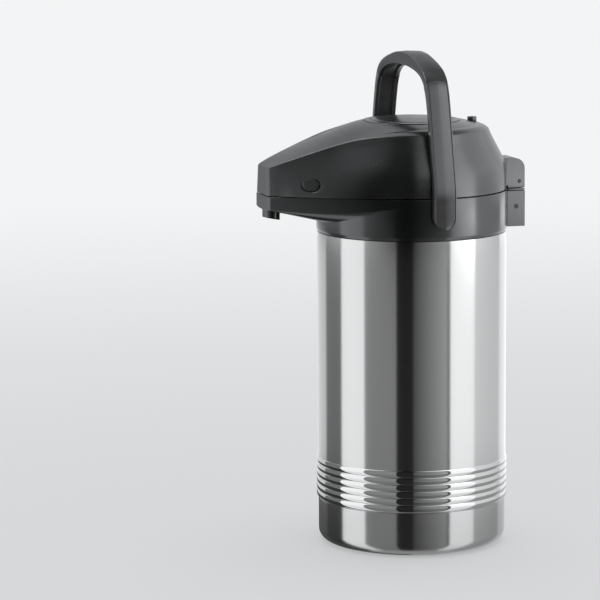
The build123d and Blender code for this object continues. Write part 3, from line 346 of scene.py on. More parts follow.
def studio_card(name, start, end, steel, collar, lid, foot, sky, table):
    """A curved card round the pot, from one bearing to another, in degrees to the right of the camera's side.

    Its point is (R cos b, R sin b, z). Each level is a pair that goes evenly from start to end, one for the
    height that the steel reflects, one for the collar's and one for the lid's. Foot and sky are the shares of
    the lid's level at the lid's foot and high up. Below the table's top the card glows at the table's share,
    as a mirror image in a polished table would. Only gloss sees it.
    """
    share = np.linspace(0.0, 1.0, CARD_STEPS + 1)
    bearing = np.radians(-CAMERA_BEARING + start + (end - start) * share)
    circle = np.stack([np.cos(bearing), np.sin(bearing)], axis=-1) * CARD_RADIUS
    low, middle, high = (levels[0] + (levels[1] - levels[0]) * share for levels in (steel, collar, lid))
    rows = (
        (CARD_FOOT, low * table * TABLE_FADE), (TABLE_TOP, low * table), (STEEL_FOOT, low), (STEEL_TOP, low),
        (COLLAR_FOOT, middle), (COLLAR_TOP, middle),
        (LID_FOOT, high * foot), (LID_MIDDLE, high * (1 + foot) / 2), (LID_TOP, high),
        (SKY_FOOT, high), (SKY_TOP, high * sky), (CARD_TOP, high * sky),
    )
    points = np.concatenate([np.column_stack([circle, np.full(CARD_STEPS + 1, z)]) for z, _ in rows])
    card = place_mesh(name, points, grid_faces(len(rows), CARD_STEPS + 1, wrap=False))
    tint = card.data.color_attributes.new("glow", "FLOAT_COLOR", "POINT")
    level = np.concatenate([glow for _, glow in rows])
    tint.data.foreach_set("color", np.column_stack([np.outer(level, CARD_TINT), np.ones_like(level)]).ravel())
    material = new_material(name)
    colour = add(material, "Attribute", attribute_name="glow")
    glow = add(material, "Emission", {"Color": colour}, Strength=CARD_LEVEL)
    add(material, "OutputMaterial", {"Surface": glow})
    card.data.materials.append(material)
    for ray in ("visible_camera", "visible_diffuse", "visible_shadow", "visible_transmission"):
        setattr(card, ray, False)


for index, card in enumerate(CARDS):
    studio_card(f"card_{index}", *card)


def soft_lamp(name, place, target, width, height, power):
    """A rectangular softbox at place, facing target."""
    lamp = shown(name, bpy.data.lights.new(name, "AREA"))
    lamp.data.shape = "RECTANGLE"
    lamp.data.size, lamp.data.size_y, lamp.data.energy = width, height, power
    lamp.location = place
    lamp.rotation_euler = (Vector(target) - Vector(place)).to_track_quat("-Z", "Y").to_euler()
    return lamp


soft_lamp("overhead", (-0.4, 0.2, 2.6), (0, 0, 0.2), 2.2, 2.2, 10.0)
plastic_lamps = (
    soft_lamp("right_softbox", (1.35, 1.35, 0.75), (0, 0, 0.3), 1.4, 1.1, 35.0),
    soft_lamp("left_window", (-0.6, -1.7, 1.4), (0, 0, 0.35), 0.8, 1.2, 35.0),
)

# Handle: a bar of changing section swept along the arch. Its stations are (x, z) seen from the front, on the
# outer and the inner line, and half widths along y.
ARCH_OUTER = (
    (92.5, 285.5), (92.5, 295.5), (92.5, 306.0), (92.3, 316.0), (89.6, 330.0), (86.2, 344.0),
    (83.2, 357.0), (80.3, 370.0), (77.0, 384.0), (72.8, 399.0), (67.2, 410.3), (58.3, 417.6),
    (46.0, 422.4), (32.0, 426.0), (16.0, 429.2), (0.0, 430.3),
)
ARCH_INNER = (
    (84.5, 285.5), (84.5, 295.5), (84.5, 306.0), (84.5, 320.0), (82.3, 333.0), (79.4, 346.0),
    (76.6, 358.5), (73.9, 370.5), (70.6, 383.5), (66.3, 396.5), (60.6, 404.6), (52.5, 410.8),
    (42.5, 414.4), (30.5, 416.6), (15.5, 418.2), (0.0, 418.6),
)
HALF_WIDTH = (10.0,) * 10 + (9.9,) + (9.8,) * 5
ARCH_TOP = len(ARCH_OUTER) - 1.0
ARCH_STEPS = 1500
FOOT_ROUND = 10.0
# The section's relief flattens where its half width is less than this
FULL_RELIEF = 4.0
# The seam between leg and grip, in stations: its place, its bows and half its gap
SEAM_AT = 9.85
SEAM_BOW_OUT = 0.16
SEAM_BOW_IN = 0.12
SEAM_GAP = 0.008
LEG_ROWS, GRIP_ROWS = 140, 90
BAR_CREASE = 24
# The pegs on which the handle swings
PIVOT_Z, PIVOT_R, PIVOT_START, PIVOT_LENGTH = 295.5, 6.0, 75.5, 12.0
SOFT_CORNER = 0.5


def whole_section(outer, inner, depth):
    """The bar's section from half of it: points (s, d), with s across from 0 in the middle to 1 at the edge,
    and d in millimetres from the face, counted from the inner towards the outer. Both faces' points go in
    from the edge, and the inner ones end beside a hollow of this depth. The result has rows (s, d, side),
    with side 1 on the outer face."""
    section = [(-inner[0][0], inner[0][1], 0)]
    section += [(-s, d, 1) for s, d in outer]
    section += [(s, d, 1) for s, d in outer[::-1] if s > 0]
    section += [(s, d, 0) for s, d in inner] + [(0.0, depth, 0)]
    return np.array(section + [(-s, d, 0) for s, d in inner[:0:-1]])


# The leg has a groove along both edges of its outer face and a hollow inner face, the grip only the hollow
LEG_SECTION = whole_section(
    ((1.0, -2.4), (0.985, -1.2), (0.95, -0.7), (0.9, -0.5), (0.875, -0.6), (0.855, -1.0), (0.82, -1.0),
     (0.8, -0.64), (0.4, -0.3), (0.03, 0.0)),
    ((1.0, 0.5), (0.97, 0.12), (0.9, 0.0), (0.7, 0.0), (0.66, 0.2), (0.62, 2.0)), 2.0)
GRIP_SECTION = whole_section(
    ((1.0, -1.7), (0.985, -1.0), (0.95, -0.6), (0.9, -0.45), (0.42, -0.16), (0.0, 0.0)),
    ((1.0, 1.6), (0.96, 0.5), (0.86, 0.05), (0.58, 0.0), (0.54, 0.2), (0.5, 1.6)), 1.6)


def bar_points(station, section):
    """Points of the handle's bar at these stations, for every point (s, d, side) of its section.

    With the inner line I(u), the outer line O(u) and the half width w(u), the point has y = s w. Seen from
    the front it lies at I or O plus d n, n being the unit vector from I to O. Below station 1 the bar ends in
    a half circle: w = R sqrt(1 - (1 - u)^2).
    """
    widths = np.array(HALF_WIDTH)[:, None]
    outer_line, inner_line, width_line = (through(v, ARCH_STEPS) for v in (ARCH_OUTER, ARCH_INNER, widths))
    grid = np.linspace(0.0, ARCH_TOP, ARCH_STEPS)
    outer, inner = (np.stack([np.interp(station, grid, line[:, k]) for k in (0, 1)], axis=-1)
                    for line in (outer_line, inner_line))
    round_end = np.sqrt(np.clip(1.0 - (1.0 - np.clip(station, 0.0, 1.0)) ** 2, 0.0, 1.0)) * FOOT_ROUND
    half = np.where(station < 1.0, round_end, np.interp(station, grid, width_line[:, 0]))
    across = (outer - inner) / np.linalg.norm(outer - inner, axis=-1, keepdims=True)
    s, d, side = section.T
    inset = d * np.clip(half / FULL_RELIEF, 0.0, 1.0)
    flat = np.where(side[None, :, None] > 0, outer, inner) + inset[..., None] * across
    return np.stack([flat[..., 0], s * half, flat[..., 1]], axis=-1)


def tube(name, points, crease):
    """A closed tube over rows of points in millimetres, with a face at each end."""
    rows, count = points.shape[:2]
    ends = (list(range(count)), list(range((rows - 1) * count, rows * count)))
    return closed(place_mesh(name, points.reshape(-1, 3) * mm, grid_faces(rows, count), ends), crease)


def seam_stations(section, gap):
    """Where the seam between leg and grip crosses each section point: u = U + b (1 - s^2) + gap. The bow b is
    upwards on the outer face and downwards on the inner one."""
    s, _, side = section.T
    return SEAM_AT + np.where(side > 0, SEAM_BOW_OUT, -SEAM_BOW_IN) * (1 - s ** 2) + gap


def handle_leg(name, side):
    """One leg of the handle, from its round foot to the seam. Its rows lie closest at the foot."""
    top = seam_stations(LEG_SECTION, -SEAM_GAP)
    points = bar_points(top * np.linspace(0.0, 1.0, LEG_ROWS)[:, None] ** 2, LEG_SECTION)
    return tube(name, points * (side, 1.0, 1.0), BAR_CREASE)


def handle_grip():
    """The handle's grip, from seam to seam: one half up to the arch's top, and its mirror image."""
    start = seam_stations(GRIP_SECTION, SEAM_GAP)
    share = np.linspace(0.0, 1.0, GRIP_ROWS)[:, None]
    points = bar_points(start + (ARCH_TOP - start) * share, GRIP_SECTION)
    return tube("handle_grip_skin", np.concatenate([points, points[-2::-1] * (-1.0, 1.0, 1.0)]), BAR_CREASE)


def pivot_stub(name, side):
    """The handle's pivot: a round peg from the leg's inner face into the collar's boss."""
    return softened(peg(name, PIVOT_R, side * PIVOT_START, side * PIVOT_LENGTH, 0.0, PIVOT_Z), SOFT_CORNER)


# Lid: a skirt from the seam up to the ridge or crease, and a top from there in to the button's hole.
# Stations run round half the outline, from the middle of the beak's tip to the pot's side.
SEAM_R, SEAM_Z = 82.3, 311.0
CREASE_R, CREASE_Z = 66.7, 363.5
RING_R, RING_Z = 58.0, 367.0
HOLE_R, HOLE_Z = 42.2, 370.4
SEAM_STATIONS = (
    (0.0, -135.5), (8.0, -135.5), (14.6, -135.4), (17.9, -134.5), (20.4, -131.7), (25.2, -125.3),
    (31.8, -117.3), (37.6, -109.3), (43.1, -101.2), (48.2, -93.0), (52.9, -84.8), (57.2, -76.7),
    (62.9, -65.0), (69.0, -50.0), (74.3, -35.4), (79.5, -21.3), (SEAM_R, 0.0),
)
EDGE_STATIONS = (
    (0.0, -134.9, 334.6), (7.0, -134.9, 334.7), (12.7, -134.8, 334.9), (15.4, -134.2, 335.1),
    (17.4, -131.6, 336.3), (20.9, -125.3, 338.8), (24.3, -117.3, 341.8), (27.3, -109.3, 344.7),
    (30.2, -101.2, 347.6), (33.0, -93.0, 350.5), (35.7, -84.8, 353.3), (38.6, -76.7, 355.9),
    (43.6, -64.5, 359.2), (51.3, -48.8, 361.9), (59.4, -33.0, 363.2), (64.6, -17.3, 363.5),
    (CREASE_R, 0.0, CREASE_Z),
)
TOP_STATIONS = (
    (0.0, -62.5, 364.5), (10.0, -61.6, 364.5), (16.0, -60.2, 364.5), (20.0, -59.0, 364.5),
    (24.0, -57.4, 364.5), (28.5, -55.0, 364.6), (32.5, -52.4, 364.7), (36.0, -49.6, 364.8),
    (39.2, -46.4, 364.9), (42.0, -43.0, 365.0), (44.6, -39.2, 365.2), (47.0, -35.0, 365.4),
    (49.4, -30.0, 365.7), (52.3, -24.5, 366.1), (55.0, -19.0, 366.5), (57.2, -11.0, 366.9),
    (RING_R, 0.0, RING_Z),
)
# The dome's bulge: shares of the way up the skirt, and how far in the wall has come there
DOME_RISE = (0.0, 0.171, 0.362, 0.45, 0.533, 0.73, 0.88, 1.0)
DOME_IN = (0.0, 0.0, 0.032, 0.105, 0.218, 0.56, 0.83, 1.0)
# It starts at the first of these places along y and is full at the second
BULGE_FROM, BULGE_FULL = -108.0, -38.0
# Points on each side over which the bulge's corners are smoothed
DOME_SMOOTH = 4
# Crowns in the middle of the top's faces: on the beak's ramp, what the dome adds, and on the level top
RAMP_CROWN, DOME_CROWN, TOP_CROWN = 0.35, 0.5, 0.3
RIDGE_ROUND, RIDGE_STEPS = 1.2, 7
# The seam's gap above the collar
SEAM_OPEN = 0.3
FRONT_COLUMNS, REAR_COLUMNS = 180, 90
SKIRT_ROWS, RAMP_ROWS, TOP_ROWS = 49, 25, 13
LID_WALL = 2.4
# The knob's place behind the button's hole, and the hole through the lid for it
KNOB_Y, KNOB_HOLE, KNOB_HOLE_UP = 55.5, 5.6, (360.0, 380.0)
# Its dish: rings from the shaft's hole out and back under, and how far they stay below the lid's top
DISH_RINGS = ((2.08, "floor"), (4.2, "floor"), (5.5, "floor"), (5.62, "lip"), (6.6, "lip"), (6.6, "under"),
              (2.08, "under"))
DISH_Z, DISH_WALL, DISH_STEPS = 366.0, 1.6, 96
FLOOR_BELOW, LIP_BELOW, LIP_UNDER_FLOOR = 0.1, 0.45, 0.3
# The release button's opening: its middle, and the directions along and out of the beak's side, on the right
RELEASE_MIDDLE = (38.9, -102.5, 321.6)
RELEASE_ALONG = (0.552, 0.834, 0.0)
RELEASE_OUT = (0.834, -0.552, 0.12)
RELEASE_LIFT = 0.5
# Its cutters: half length, half height, from where to where on the way out, and flare
RELEASE_CUTS = {"recess": (9.6, 6.4, -1.3, 6.0, 0.12), "opening": (7.6, 5.6, -8.0, 6.0, 0.0)}
# The tube that guides the button, and the slot in it for the lock's cam, which clears this circle
GUIDE_R, GUIDE_LOW, GUIDE_OUT, GUIDE_IN = 44.5, 332.4, 368.6, 369.6
CAM_SWEEP, CAM_ROOM = 17.8, 0.8


def rounded_meeting(lower, upper, reach):
    """The last row of lower, a sharp edge E, becomes a small round: (1 - t)^2 A + 2 t (1 - t) E + t^2 C.
    A and C lie reach away from the edge on both sides, and two rows on each side make room for it."""
    edge = lower[-1]
    down, on = lower[-5] - edge, upper[4] - edge
    start = edge + down / np.linalg.norm(down, axis=-1, keepdims=True) * reach
    end = edge + on / np.linalg.norm(on, axis=-1, keepdims=True) * reach
    t = np.linspace(0.0, 1.0, RIDGE_STEPS)[:, None, None]
    round_rows = (1 - t) ** 2 * start + 2 * t * (1 - t) * edge + t ** 2 * end
    return np.concatenate([lower[:-3], round_rows]), upper[2:]


def dome_share(t):
    """How far in the dome's wall has come at each share t of its height, smoothed by a bell of sum 1."""
    dome = np.pad(np.interp(t, DOME_RISE, DOME_IN), DOME_SMOOTH, mode="reflect", reflect_type="odd")
    bell = np.hanning(2 * DOME_SMOOTH + 3)[1:-1] / (DOME_SMOOTH + 1)
    dome = np.convolve(dome, bell, mode="same")[DOME_SMOOTH:-DOME_SMOOTH]
    dome[0], dome[-1] = 0.0, 1.0
    return dome


def lid_skin():
    """Outer skin of the lid as a grid of points.

    The columns run round the half outline, then round its mirror image. Along the rows, the skirt's point is
    B + (E - B) s from the seam B to the edge E, with s = t near the tip and the dome's bulge on the body. The
    top's point goes straight from E to the ring T and on to the hole's rim H, with a crown c sin(pi r).
    """
    seam = through([(*place, SEAM_Z) for place in SEAM_STATIONS], FRONT_COLUMNS)
    edge = through(EDGE_STATIONS, FRONT_COLUMNS)
    top = through(TOP_STATIONS, FRONT_COLUMNS)
    quarter = np.linspace(0.0, math.pi / 2, REAR_COLUMNS + 1)[1:]
    back = [np.column_stack([r * np.cos(quarter), r * np.sin(quarter), np.full_like(quarter, z)])
            for r, z in ((SEAM_R, SEAM_Z), (CREASE_R, CREASE_Z), (RING_R, RING_Z))]
    seam, edge, top = (np.concatenate([front, rear]) for front, rear in zip((seam, edge, top), back))
    bearing = np.arctan2(top[:, 0], -top[:, 1])
    hole = np.column_stack([HOLE_R * np.sin(bearing), -HOLE_R * np.cos(bearing), np.full(len(top), HOLE_Z)])
    bulge = np.interp(seam[:, 1], (BULGE_FROM, BULGE_FULL), (0.0, 1.0))
    bulge = (bulge ** 2 * (3 - 2 * bulge))[None, :, None]
    t = np.linspace(0.0, 1.0, SKIRT_ROWS)
    share = (1 - bulge) * t[:, None, None] + bulge * dome_share(t)[:, None, None]
    skirt = seam[None] + (edge - seam)[None] * share
    skirt[:, :, 2] = SEAM_Z + (edge[:, 2] - SEAM_Z)[None] * t[:, None]
    r = np.linspace(0.0, 1.0, RAMP_ROWS)[1:, None, None]
    ramp = edge[None] + (top - edge)[None] * r
    ramp[:, :, 2] += (DOME_CROWN * bulge[:, :, 0] + RAMP_CROWN) * np.sin(math.pi * r[:, :, 0])
    r = np.linspace(0.0, 1.0, TOP_ROWS)[1:, None, None]
    crown = top[None] + (hole - top)[None] * r
    crown[:, :, 2] += TOP_CROWN * np.sin(math.pi * r[:, :, 0])
    skirt, ramp = rounded_meeting(skirt, ramp, RIDGE_ROUND)
    skirt[0, :, 2] += SEAM_OPEN
    right = np.concatenate([skirt, ramp, crown])
    left = right[:, -2:0:-1] * (-1.0, 1.0, 1.0)
    return np.concatenate([right, left], axis=1)


def release_cutters(side):
    """The cutters for one release button, ovals M + p cos a along + q sin a up, carried along the way out."""
    a = turn(CIRCLE_STEPS)
    mirror = np.array([side, 1.0, 1.0])
    along, out = RELEASE_ALONG * mirror, RELEASE_OUT * mirror
    middle = RELEASE_MIDDLE * mirror + out * RELEASE_LIFT
    for name, (long_half, tall_half, inner, outer, flare) in RELEASE_CUTS.items():
        oval = np.outer(long_half * np.cos(a), along) + np.outer(tall_half * np.sin(a), (0, 0, 1))
        yield prism(name, middle + oval + inner * out, out * (outer - inner), flare)


def lid_cover():
    """The lid's shell: its outer skin with a wall inside, the knob's hole and the buttons' openings."""
    points = lid_skin()
    rows, columns = points.shape[:2]
    piece = place_mesh("lid_cover", points.reshape(-1, 3) * mm, grid_faces(rows, columns)[:, ::-1])
    mended(piece.data, JOIN)
    wall = piece.modifiers.new("wall", "SOLIDIFY")
    wall.thickness, wall.offset = LID_WALL * mm, -1.0
    wall.use_even_offset, wall.use_quality_normals = True, True
    pocket = disc("pocket", KNOB_HOLE, (0.0, KNOB_Y), *KNOB_HOLE_UP)
    return carved(piece, [pocket, *release_cutters(1), *release_cutters(-1)])


def knob_pocket():
    """The lock knob's seat in the lid: a round dish with a level floor, which stays below the lid's top.

    Its rings are (p cos a, y + p sin a). The lid's top there falls with the distance from the pot's axis.
    """
    a = turn(DISH_STEPS)
    points = []
    for p, level in DISH_RINGS:
        x, y = p * np.cos(a), KNOB_Y + p * np.sin(a)
        top = np.interp(np.hypot(x, y), (HOLE_R, RING_R, CREASE_R), (HOLE_Z, RING_Z, CREASE_Z))
        floor_z = np.minimum(DISH_Z, top - FLOOR_BELOW)
        lip_z = np.maximum(top - LIP_BELOW, floor_z - LIP_UNDER_FLOOR)
        z = {"floor": floor_z, "lip": lip_z, "under": floor_z - DISH_WALL}[level]
        points.append(np.column_stack([x, y, z]))
    count = len(DISH_RINGS)
    faces = grid_faces(count + 1, DISH_STEPS) % (count * DISH_STEPS)
    return closed(place_mesh("knob_pocket", np.concatenate(points) * mm, faces))


def guide_tube():
    """The tube under the button's hole, with the slot in which the lock's cam turns."""
    outline = ((HOLE_R, GUIDE_LOW), (HOLE_R, GUIDE_IN), (GUIDE_R, GUIDE_OUT), (GUIDE_R, GUIDE_LOW))
    guide = turned("lid_guide_tube", outline)
    cam_low, cam_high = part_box("lock_cam")
    low, high = cam_low[2] / mm - CAM_ROOM, cam_high[2] / mm + CAM_ROOM
    return carved(guide, [disc("cam_space", CAM_SWEEP, (0.0, KNOB_Y), low, high)])


# Hinge: the lid's ear, a block slotted for the bracket's knuckle, and the low pads on the bracket
EAR_HALF, EAR_INSIDE, EAR_FRONT, EAR_BACK = 15.0, 76.0, 83.5, 99.8
EAR_TOP, EAR_ROUND, EAR_FOOT, EAR_STEPS = 335.0, 9.0, 309.1, 17
# It narrows by this share from the lid's wall at TAPER_FROM to its rear face
EAR_TAPER, TAPER_FROM = 0.09, 81.0
KNUCKLE_HALF, SLOT_ALONG, SLOT_UP = 8.8, (90.5, 110.0), (300.0, 319.0)
PIN_Y, PIN_Z, PIN_BORE, PIN_STEPS, BORE_HALF = 94.7, 314.8, 1.55, 32, 20.0
GROOVE_ACROSS, GROOVE_ALONG, GROOVE_UP = (14.5, 16.5), (81.4, 82.1), (300.0, 340.0)
PAD_INNER, PAD_OUTER, PAD_FRONT, PAD_BACK, PAD_ROUND = 9.4, 14.7, 83.6, 99.7, 1.2
PAD_Z, PAD_HIGH, PAD_SOFT, PAD_STEPS = 306.9, 1.7, 0.2, 9


def round_corner(x, y, radius, count):
    """A quarter round about (x, y), from straight up to straight right: (x + r sin a, y + r cos a)."""
    a = np.linspace(0.0, math.pi / 2, count)
    return np.column_stack([x + radius * np.sin(a), y + radius * np.cos(a)])


def hinge_ear():
    """Ear at the back of the lid: a block with a rounded top rear corner, slotted for the knuckle, bored for
    the pin and grooved along its front edges. Towards the back x is scaled by 1 - k t, with t from 0 to 1."""
    corner = round_corner(EAR_BACK - EAR_ROUND, EAR_TOP - EAR_ROUND, EAR_ROUND, EAR_STEPS)
    foot = [(EAR_BACK, EAR_FOOT), (EAR_FRONT, EAR_FOOT), (EAR_FRONT, SEAM_Z), (EAR_INSIDE, SEAM_Z)]
    side = np.concatenate([[(EAR_INSIDE, EAR_TOP)], corner, foot])
    ear = prism("hinge_ear", np.column_stack([np.full(len(side), -EAR_HALF), side]), (2 * EAR_HALF, 0, 0))
    softened(ear, SOFT_CORNER)
    place = mesh_values(ear.data.vertices, "co", 3)
    t = np.clip((place[:, 1] / mm - TAPER_FROM) / (EAR_BACK - TAPER_FROM), 0.0, 1.0)
    place[:, 0] *= 1.0 - EAR_TAPER * t
    ear.data.vertices.foreach_set("co", place.ravel())
    cutters = [block("slot", (-KNUCKLE_HALF, KNUCKLE_HALF), SLOT_ALONG, SLOT_UP)]
    cutters.append(peg("bore", PIN_BORE, -BORE_HALF, 2 * BORE_HALF, PIN_Y, PIN_Z, PIN_STEPS))
    cutters += [block("groove", np.multiply(side, GROOVE_ACROSS), GROOVE_ALONG, GROOVE_UP)
                for side in (1, -1)]
    return carved(ear, cutters)


def bracket_pad(name, side):
    """A low pad on the hinge bracket at one side of the knuckle, which almost fills the gap below the ear."""
    corner = round_corner(PAD_OUTER - PAD_ROUND, PAD_BACK - PAD_ROUND, PAD_ROUND, PAD_STEPS)[::-1]
    plan = [(PAD_INNER, PAD_FRONT), (PAD_OUTER, PAD_FRONT), *corner, (PAD_INNER, PAD_BACK)]
    outline = np.column_stack([np.multiply(plan, (side, 1.0)), np.full(len(plan), PAD_Z)])
    return softened(prism(name, outline, (0, 0, PAD_HIGH)), PAD_SOFT)


# Steel body: the sleeve with its rolled beads, and the cup below it, whose neck stands up inside the sleeve
BODY_R, SLEEVE_LOW, SLEEVE_HIGH, SLEEVE_WALL, RIM_ROUND = 82.5, 40.0, 274.3, 0.8, 0.3
BEADS, BEAD_PITCH, BEAD_HIGH, BEAD_STEPS, WALL_ROWS = 6, 6.05, 0.9, 24, 20
# A power below 1 makes the beads fuller and the grooves between them sharper than a sine
BEAD_POWER = 0.65
BEADS_TOP = SLEEVE_LOW + BEADS * BEAD_PITCH
CUP_R, CUP_FLOOR_R, CUP_LOW, CUP_ROUND, CUP_WALL, CUP_STEPS = 81.8, 58.0, 1.0, 10.0, 0.8, 25
CUP_HIGH, NECK_R, NECK_IN, NECK_LOW, NECK_HIGH = 38.9, 81.3, 80.5, 39.3, 47.3


def sleeve_profile():
    """Outline of the steel sleeve: six beads with r = R + h |sin(pi t)|^k, then a plain wall."""
    t = np.linspace(0.0, BEADS, BEADS * BEAD_STEPS + 1)
    bulge = BEAD_HIGH * np.abs(np.sin(math.pi * t)) ** BEAD_POWER
    wave = np.column_stack([BODY_R + bulge, SLEEVE_LOW + BEAD_PITCH * t])
    height = np.linspace(BEADS_TOP, SLEEVE_HIGH, WALL_ROWS + 2)[1:-1]
    wall = np.column_stack([np.full_like(height, BODY_R), height])
    inside = BODY_R - SLEEVE_WALL
    rim = [(BODY_R - RIM_ROUND, SLEEVE_HIGH), (inside, SLEEVE_HIGH), (inside, SLEEVE_LOW)]
    return np.concatenate([wave, wall, rim])


def cup_profile():
    """Outline of the base cup: a flat bottom, a quarter round, a straight wall and a thinner neck.

    The quarter round is (x + R sin a, z - R cos a), and inside the cup an ellipse runs back along it.
    """
    a = np.linspace(0.0, math.pi / 2, CUP_STEPS)
    x, z = CUP_R - CUP_ROUND, CUP_LOW + CUP_ROUND
    corner = np.column_stack([x + CUP_ROUND * np.sin(a), z - CUP_ROUND * np.cos(a)])
    neck = [(CUP_R, CUP_HIGH), (CUP_R - RIM_ROUND, NECK_LOW), (NECK_R, NECK_LOW), (NECK_R, NECK_HIGH),
            (NECK_IN, NECK_HIGH), (NECK_IN, z)]
    inner = np.column_stack([x + (NECK_IN - x) * np.cos(a), z - (CUP_ROUND - CUP_WALL) * np.sin(a)])[1:]
    start, end = [(CUP_FLOOR_R, CUP_LOW)], [(CUP_FLOOR_R, CUP_LOW + CUP_WALL)]
    return np.concatenate([start, corner, neck, inner, end])


# Pump: the bellows' folded skin and the coiled spring inside it, as high as their CAD nodes
FOLDS, FOLD_STEPS, FOLD_R, FOLD_DEEP, FOLD_POWER, FOLD_WALL = 6, 16, 29.5, 5.5, 0.9, 1.0
BELLOWS_STEPS = 128
SPRING_R, WIRE_R, SPRING_TURNS, TURN_STEPS, WIRE_STEPS, WIRE_CREASE = 14.0, 0.9, 7, 48, 12, 60


def bellows_profile(low, high):
    """Outline of the bellows: over each fold r = R + h |sin(pi t)|^k, with the wall's thickness inside it."""
    t = np.linspace(0.0, FOLDS, FOLDS * FOLD_STEPS + 1)
    bulge = FOLD_DEEP * np.abs(np.sin(math.pi * t)) ** FOLD_POWER
    folds = np.column_stack([FOLD_R + bulge, low + (high - low) * t / FOLDS])
    return np.concatenate([folds, folds[::-1] - (FOLD_WALL, 0.0)])


def coil(name, radius, wire, low, high, turns):
    """A coil spring: its centre line is (R cos a, R sin a, z), rising evenly, and a circle of the wire's
    radius is carried along it, square to it. The ends are closed."""
    steps = turns * TURN_STEPS
    a = np.linspace(0.0, 2 * math.pi * turns, steps + 1)[:, None]
    b = turn(WIRE_STEPS)[None, :]
    rise = (high - low) / (2 * math.pi * turns)
    lean = math.atan2(rise, radius)
    out, lift, back = wire * np.cos(b), wire * np.sin(b) * math.cos(lean), -wire * np.sin(b) * math.sin(lean)
    points = np.stack([(radius + out) * np.cos(a) - back * np.sin(a),
                       (radius + out) * np.sin(a) + back * np.cos(a), low + rise * a + lift], axis=-1)
    return tube(name, points, WIRE_CREASE)


leg_right = handle_leg("handle_leg_right_skin", 1.0)
leg_left = handle_leg("handle_leg_left_skin", -1.0)
grip = handle_grip()
cover = lid_cover()
ear = hinge_ear()
bellows_low, bellows_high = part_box("bellows")
spring_low, spring_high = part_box("pump_spring")
bellows_outline = bellows_profile(bellows_low[2] / mm, bellows_high[2] / mm)
bellows = turned("bellows_folds", bellows_outline, BELLOWS_STEPS)
spring = coil("pump_spring_wire", SPRING_R, WIRE_R, spring_low[2] / mm + WIRE_R, spring_high[2] / mm - WIRE_R,
              SPRING_TURNS)
pocket_cup = knob_pocket()
stub_right, stub_left = pivot_stub("handle_stub_right", 1), pivot_stub("handle_stub_left", -1)
pad_right, pad_left = bracket_pad("bracket_pad_right", 1), bracket_pad("bracket_pad_left", -1)
guide = guide_tube()
sleeve = turned("steel_sleeve", sleeve_profile())
cup = turned("steel_base_cup", cup_profile())

# Materials. A cell of plastic grain holds a pit and the gap beside it, so it is two grains wide.
SCRATCHES_PER_METRE = 5.0
CLOUDS_PER_METRE = 30.0
WAVES_PER_METRE = 45.0
# How far the roughness swings either way over the noise's usual span
STEEL_SWING, PLASTIC_SWING = 0.02, 0.03
NOISE = {"From_Min": 0.3, "From_Max": 0.7}
RELIEF = 0.2 * mm
MOULD_EDGE = 0.45 * mm


def rolled_steel(name, colour, roughness, spread, grain_mm, grain_depth):
    """Stainless steel finished round the body: fine level scratches smear each reflection up and down the
    wall and keep its upright edges crisp. One is about 200 mm long, and the next lies grain_mm above it."""
    material = new_material(name)
    place = add(material, "TexCoord")
    flat = add(material, "VectorMath", {0: place.outputs["Object"]}, operation="MULTIPLY")
    flat.inputs[1].default_value = (SCRATCHES_PER_METRE, SCRATCHES_PER_METRE, 1000.0 / grain_mm)
    grain = add(material, "TexNoise", {"Vector": flat}, Scale=1.0, Detail=3.0, Roughness=0.6)
    rough = add(material, "MapRange", {"Value": grain}, To_Min=roughness - STEEL_SWING,
                To_Max=roughness + STEEL_SWING, **NOISE)
    bump = add(material, "Bump", {"Height": grain}, Strength=grain_depth, Distance=RELIEF)
    upright = add(material, "CombineXYZ", Z=1.0)
    shader = add(material, "BsdfPrincipled", {"Roughness": rough, "Normal": bump, "Tangent": upright},
                 Base_Color=linear(colour), Metallic=1.0, Anisotropic=spread)
    add(material, "OutputMaterial", {"Surface": shader})
    return material


def moulded(name, colour, roughness, grain_mm=0.35, grain_depth=0.02, shine=0.8):
    """A moulded surface with a fine spark-eroded grain: a soft sheen broken up by tiny pits, a little cloudy,
    with its edges rounded as they leave the mould."""
    material = new_material(name)
    place = add(material, "TexCoord")
    grain = add(material, "TexNoise", {"Vector": place.outputs["Object"]}, Detail=2.0, Scale=500.0 / grain_mm)
    cloud = add(material, "TexNoise", {"Vector": place.outputs["Object"]}, Detail=2.0, Scale=CLOUDS_PER_METRE)
    rough = add(material, "MapRange", {"Value": cloud}, To_Min=roughness - PLASTIC_SWING,
                To_Max=roughness + PLASTIC_SWING, **NOISE)
    edge = add(material, "Bevel", samples=6, Radius=MOULD_EDGE)
    bump = add(material, "Bump", {"Height": grain, "Normal": edge}, Strength=grain_depth, Distance=RELIEF)
    shader = add(material, "BsdfPrincipled", {"Roughness": rough, "Normal": bump},
                 Base_Color=linear(colour), Specular_IOR_Level=shine)
    add(material, "OutputMaterial", {"Surface": shader})
    return material


# Brushed sheet of the sleeve and cup: upright bands of light with soft ends. Real scratches lie about 0.05 mm
# apart. They are drawn 0.4 mm apart, so that they show at all.
steel = rolled_steel("brushed_stainless_steel", "#b2b1b0", 0.2, 0.95, 0.4, 0.03)
# The beads keep the shine that the rolling tool gives them: crisp bright and dark dashes
bead_steel = rolled_steel("burnished_stainless_beads", "#bcbbba", 0.07, 0.3, 0.5, 0.01)
# Bright drawn stainless of the riser, the spring and the inner screws: a clean satin shine
bright_steel = rolled_steel("drawn_stainless_wire", "#c4c4c3", 0.22, 0.2, 0.3, 0.02)
# Blackened steel of the hinge pin and the bracket's screws: nearly black, with a worn grey shine
dark_steel = rolled_steel("blackened_steel", "#39393b", 0.35, 0.0, 0.4, 0.05)

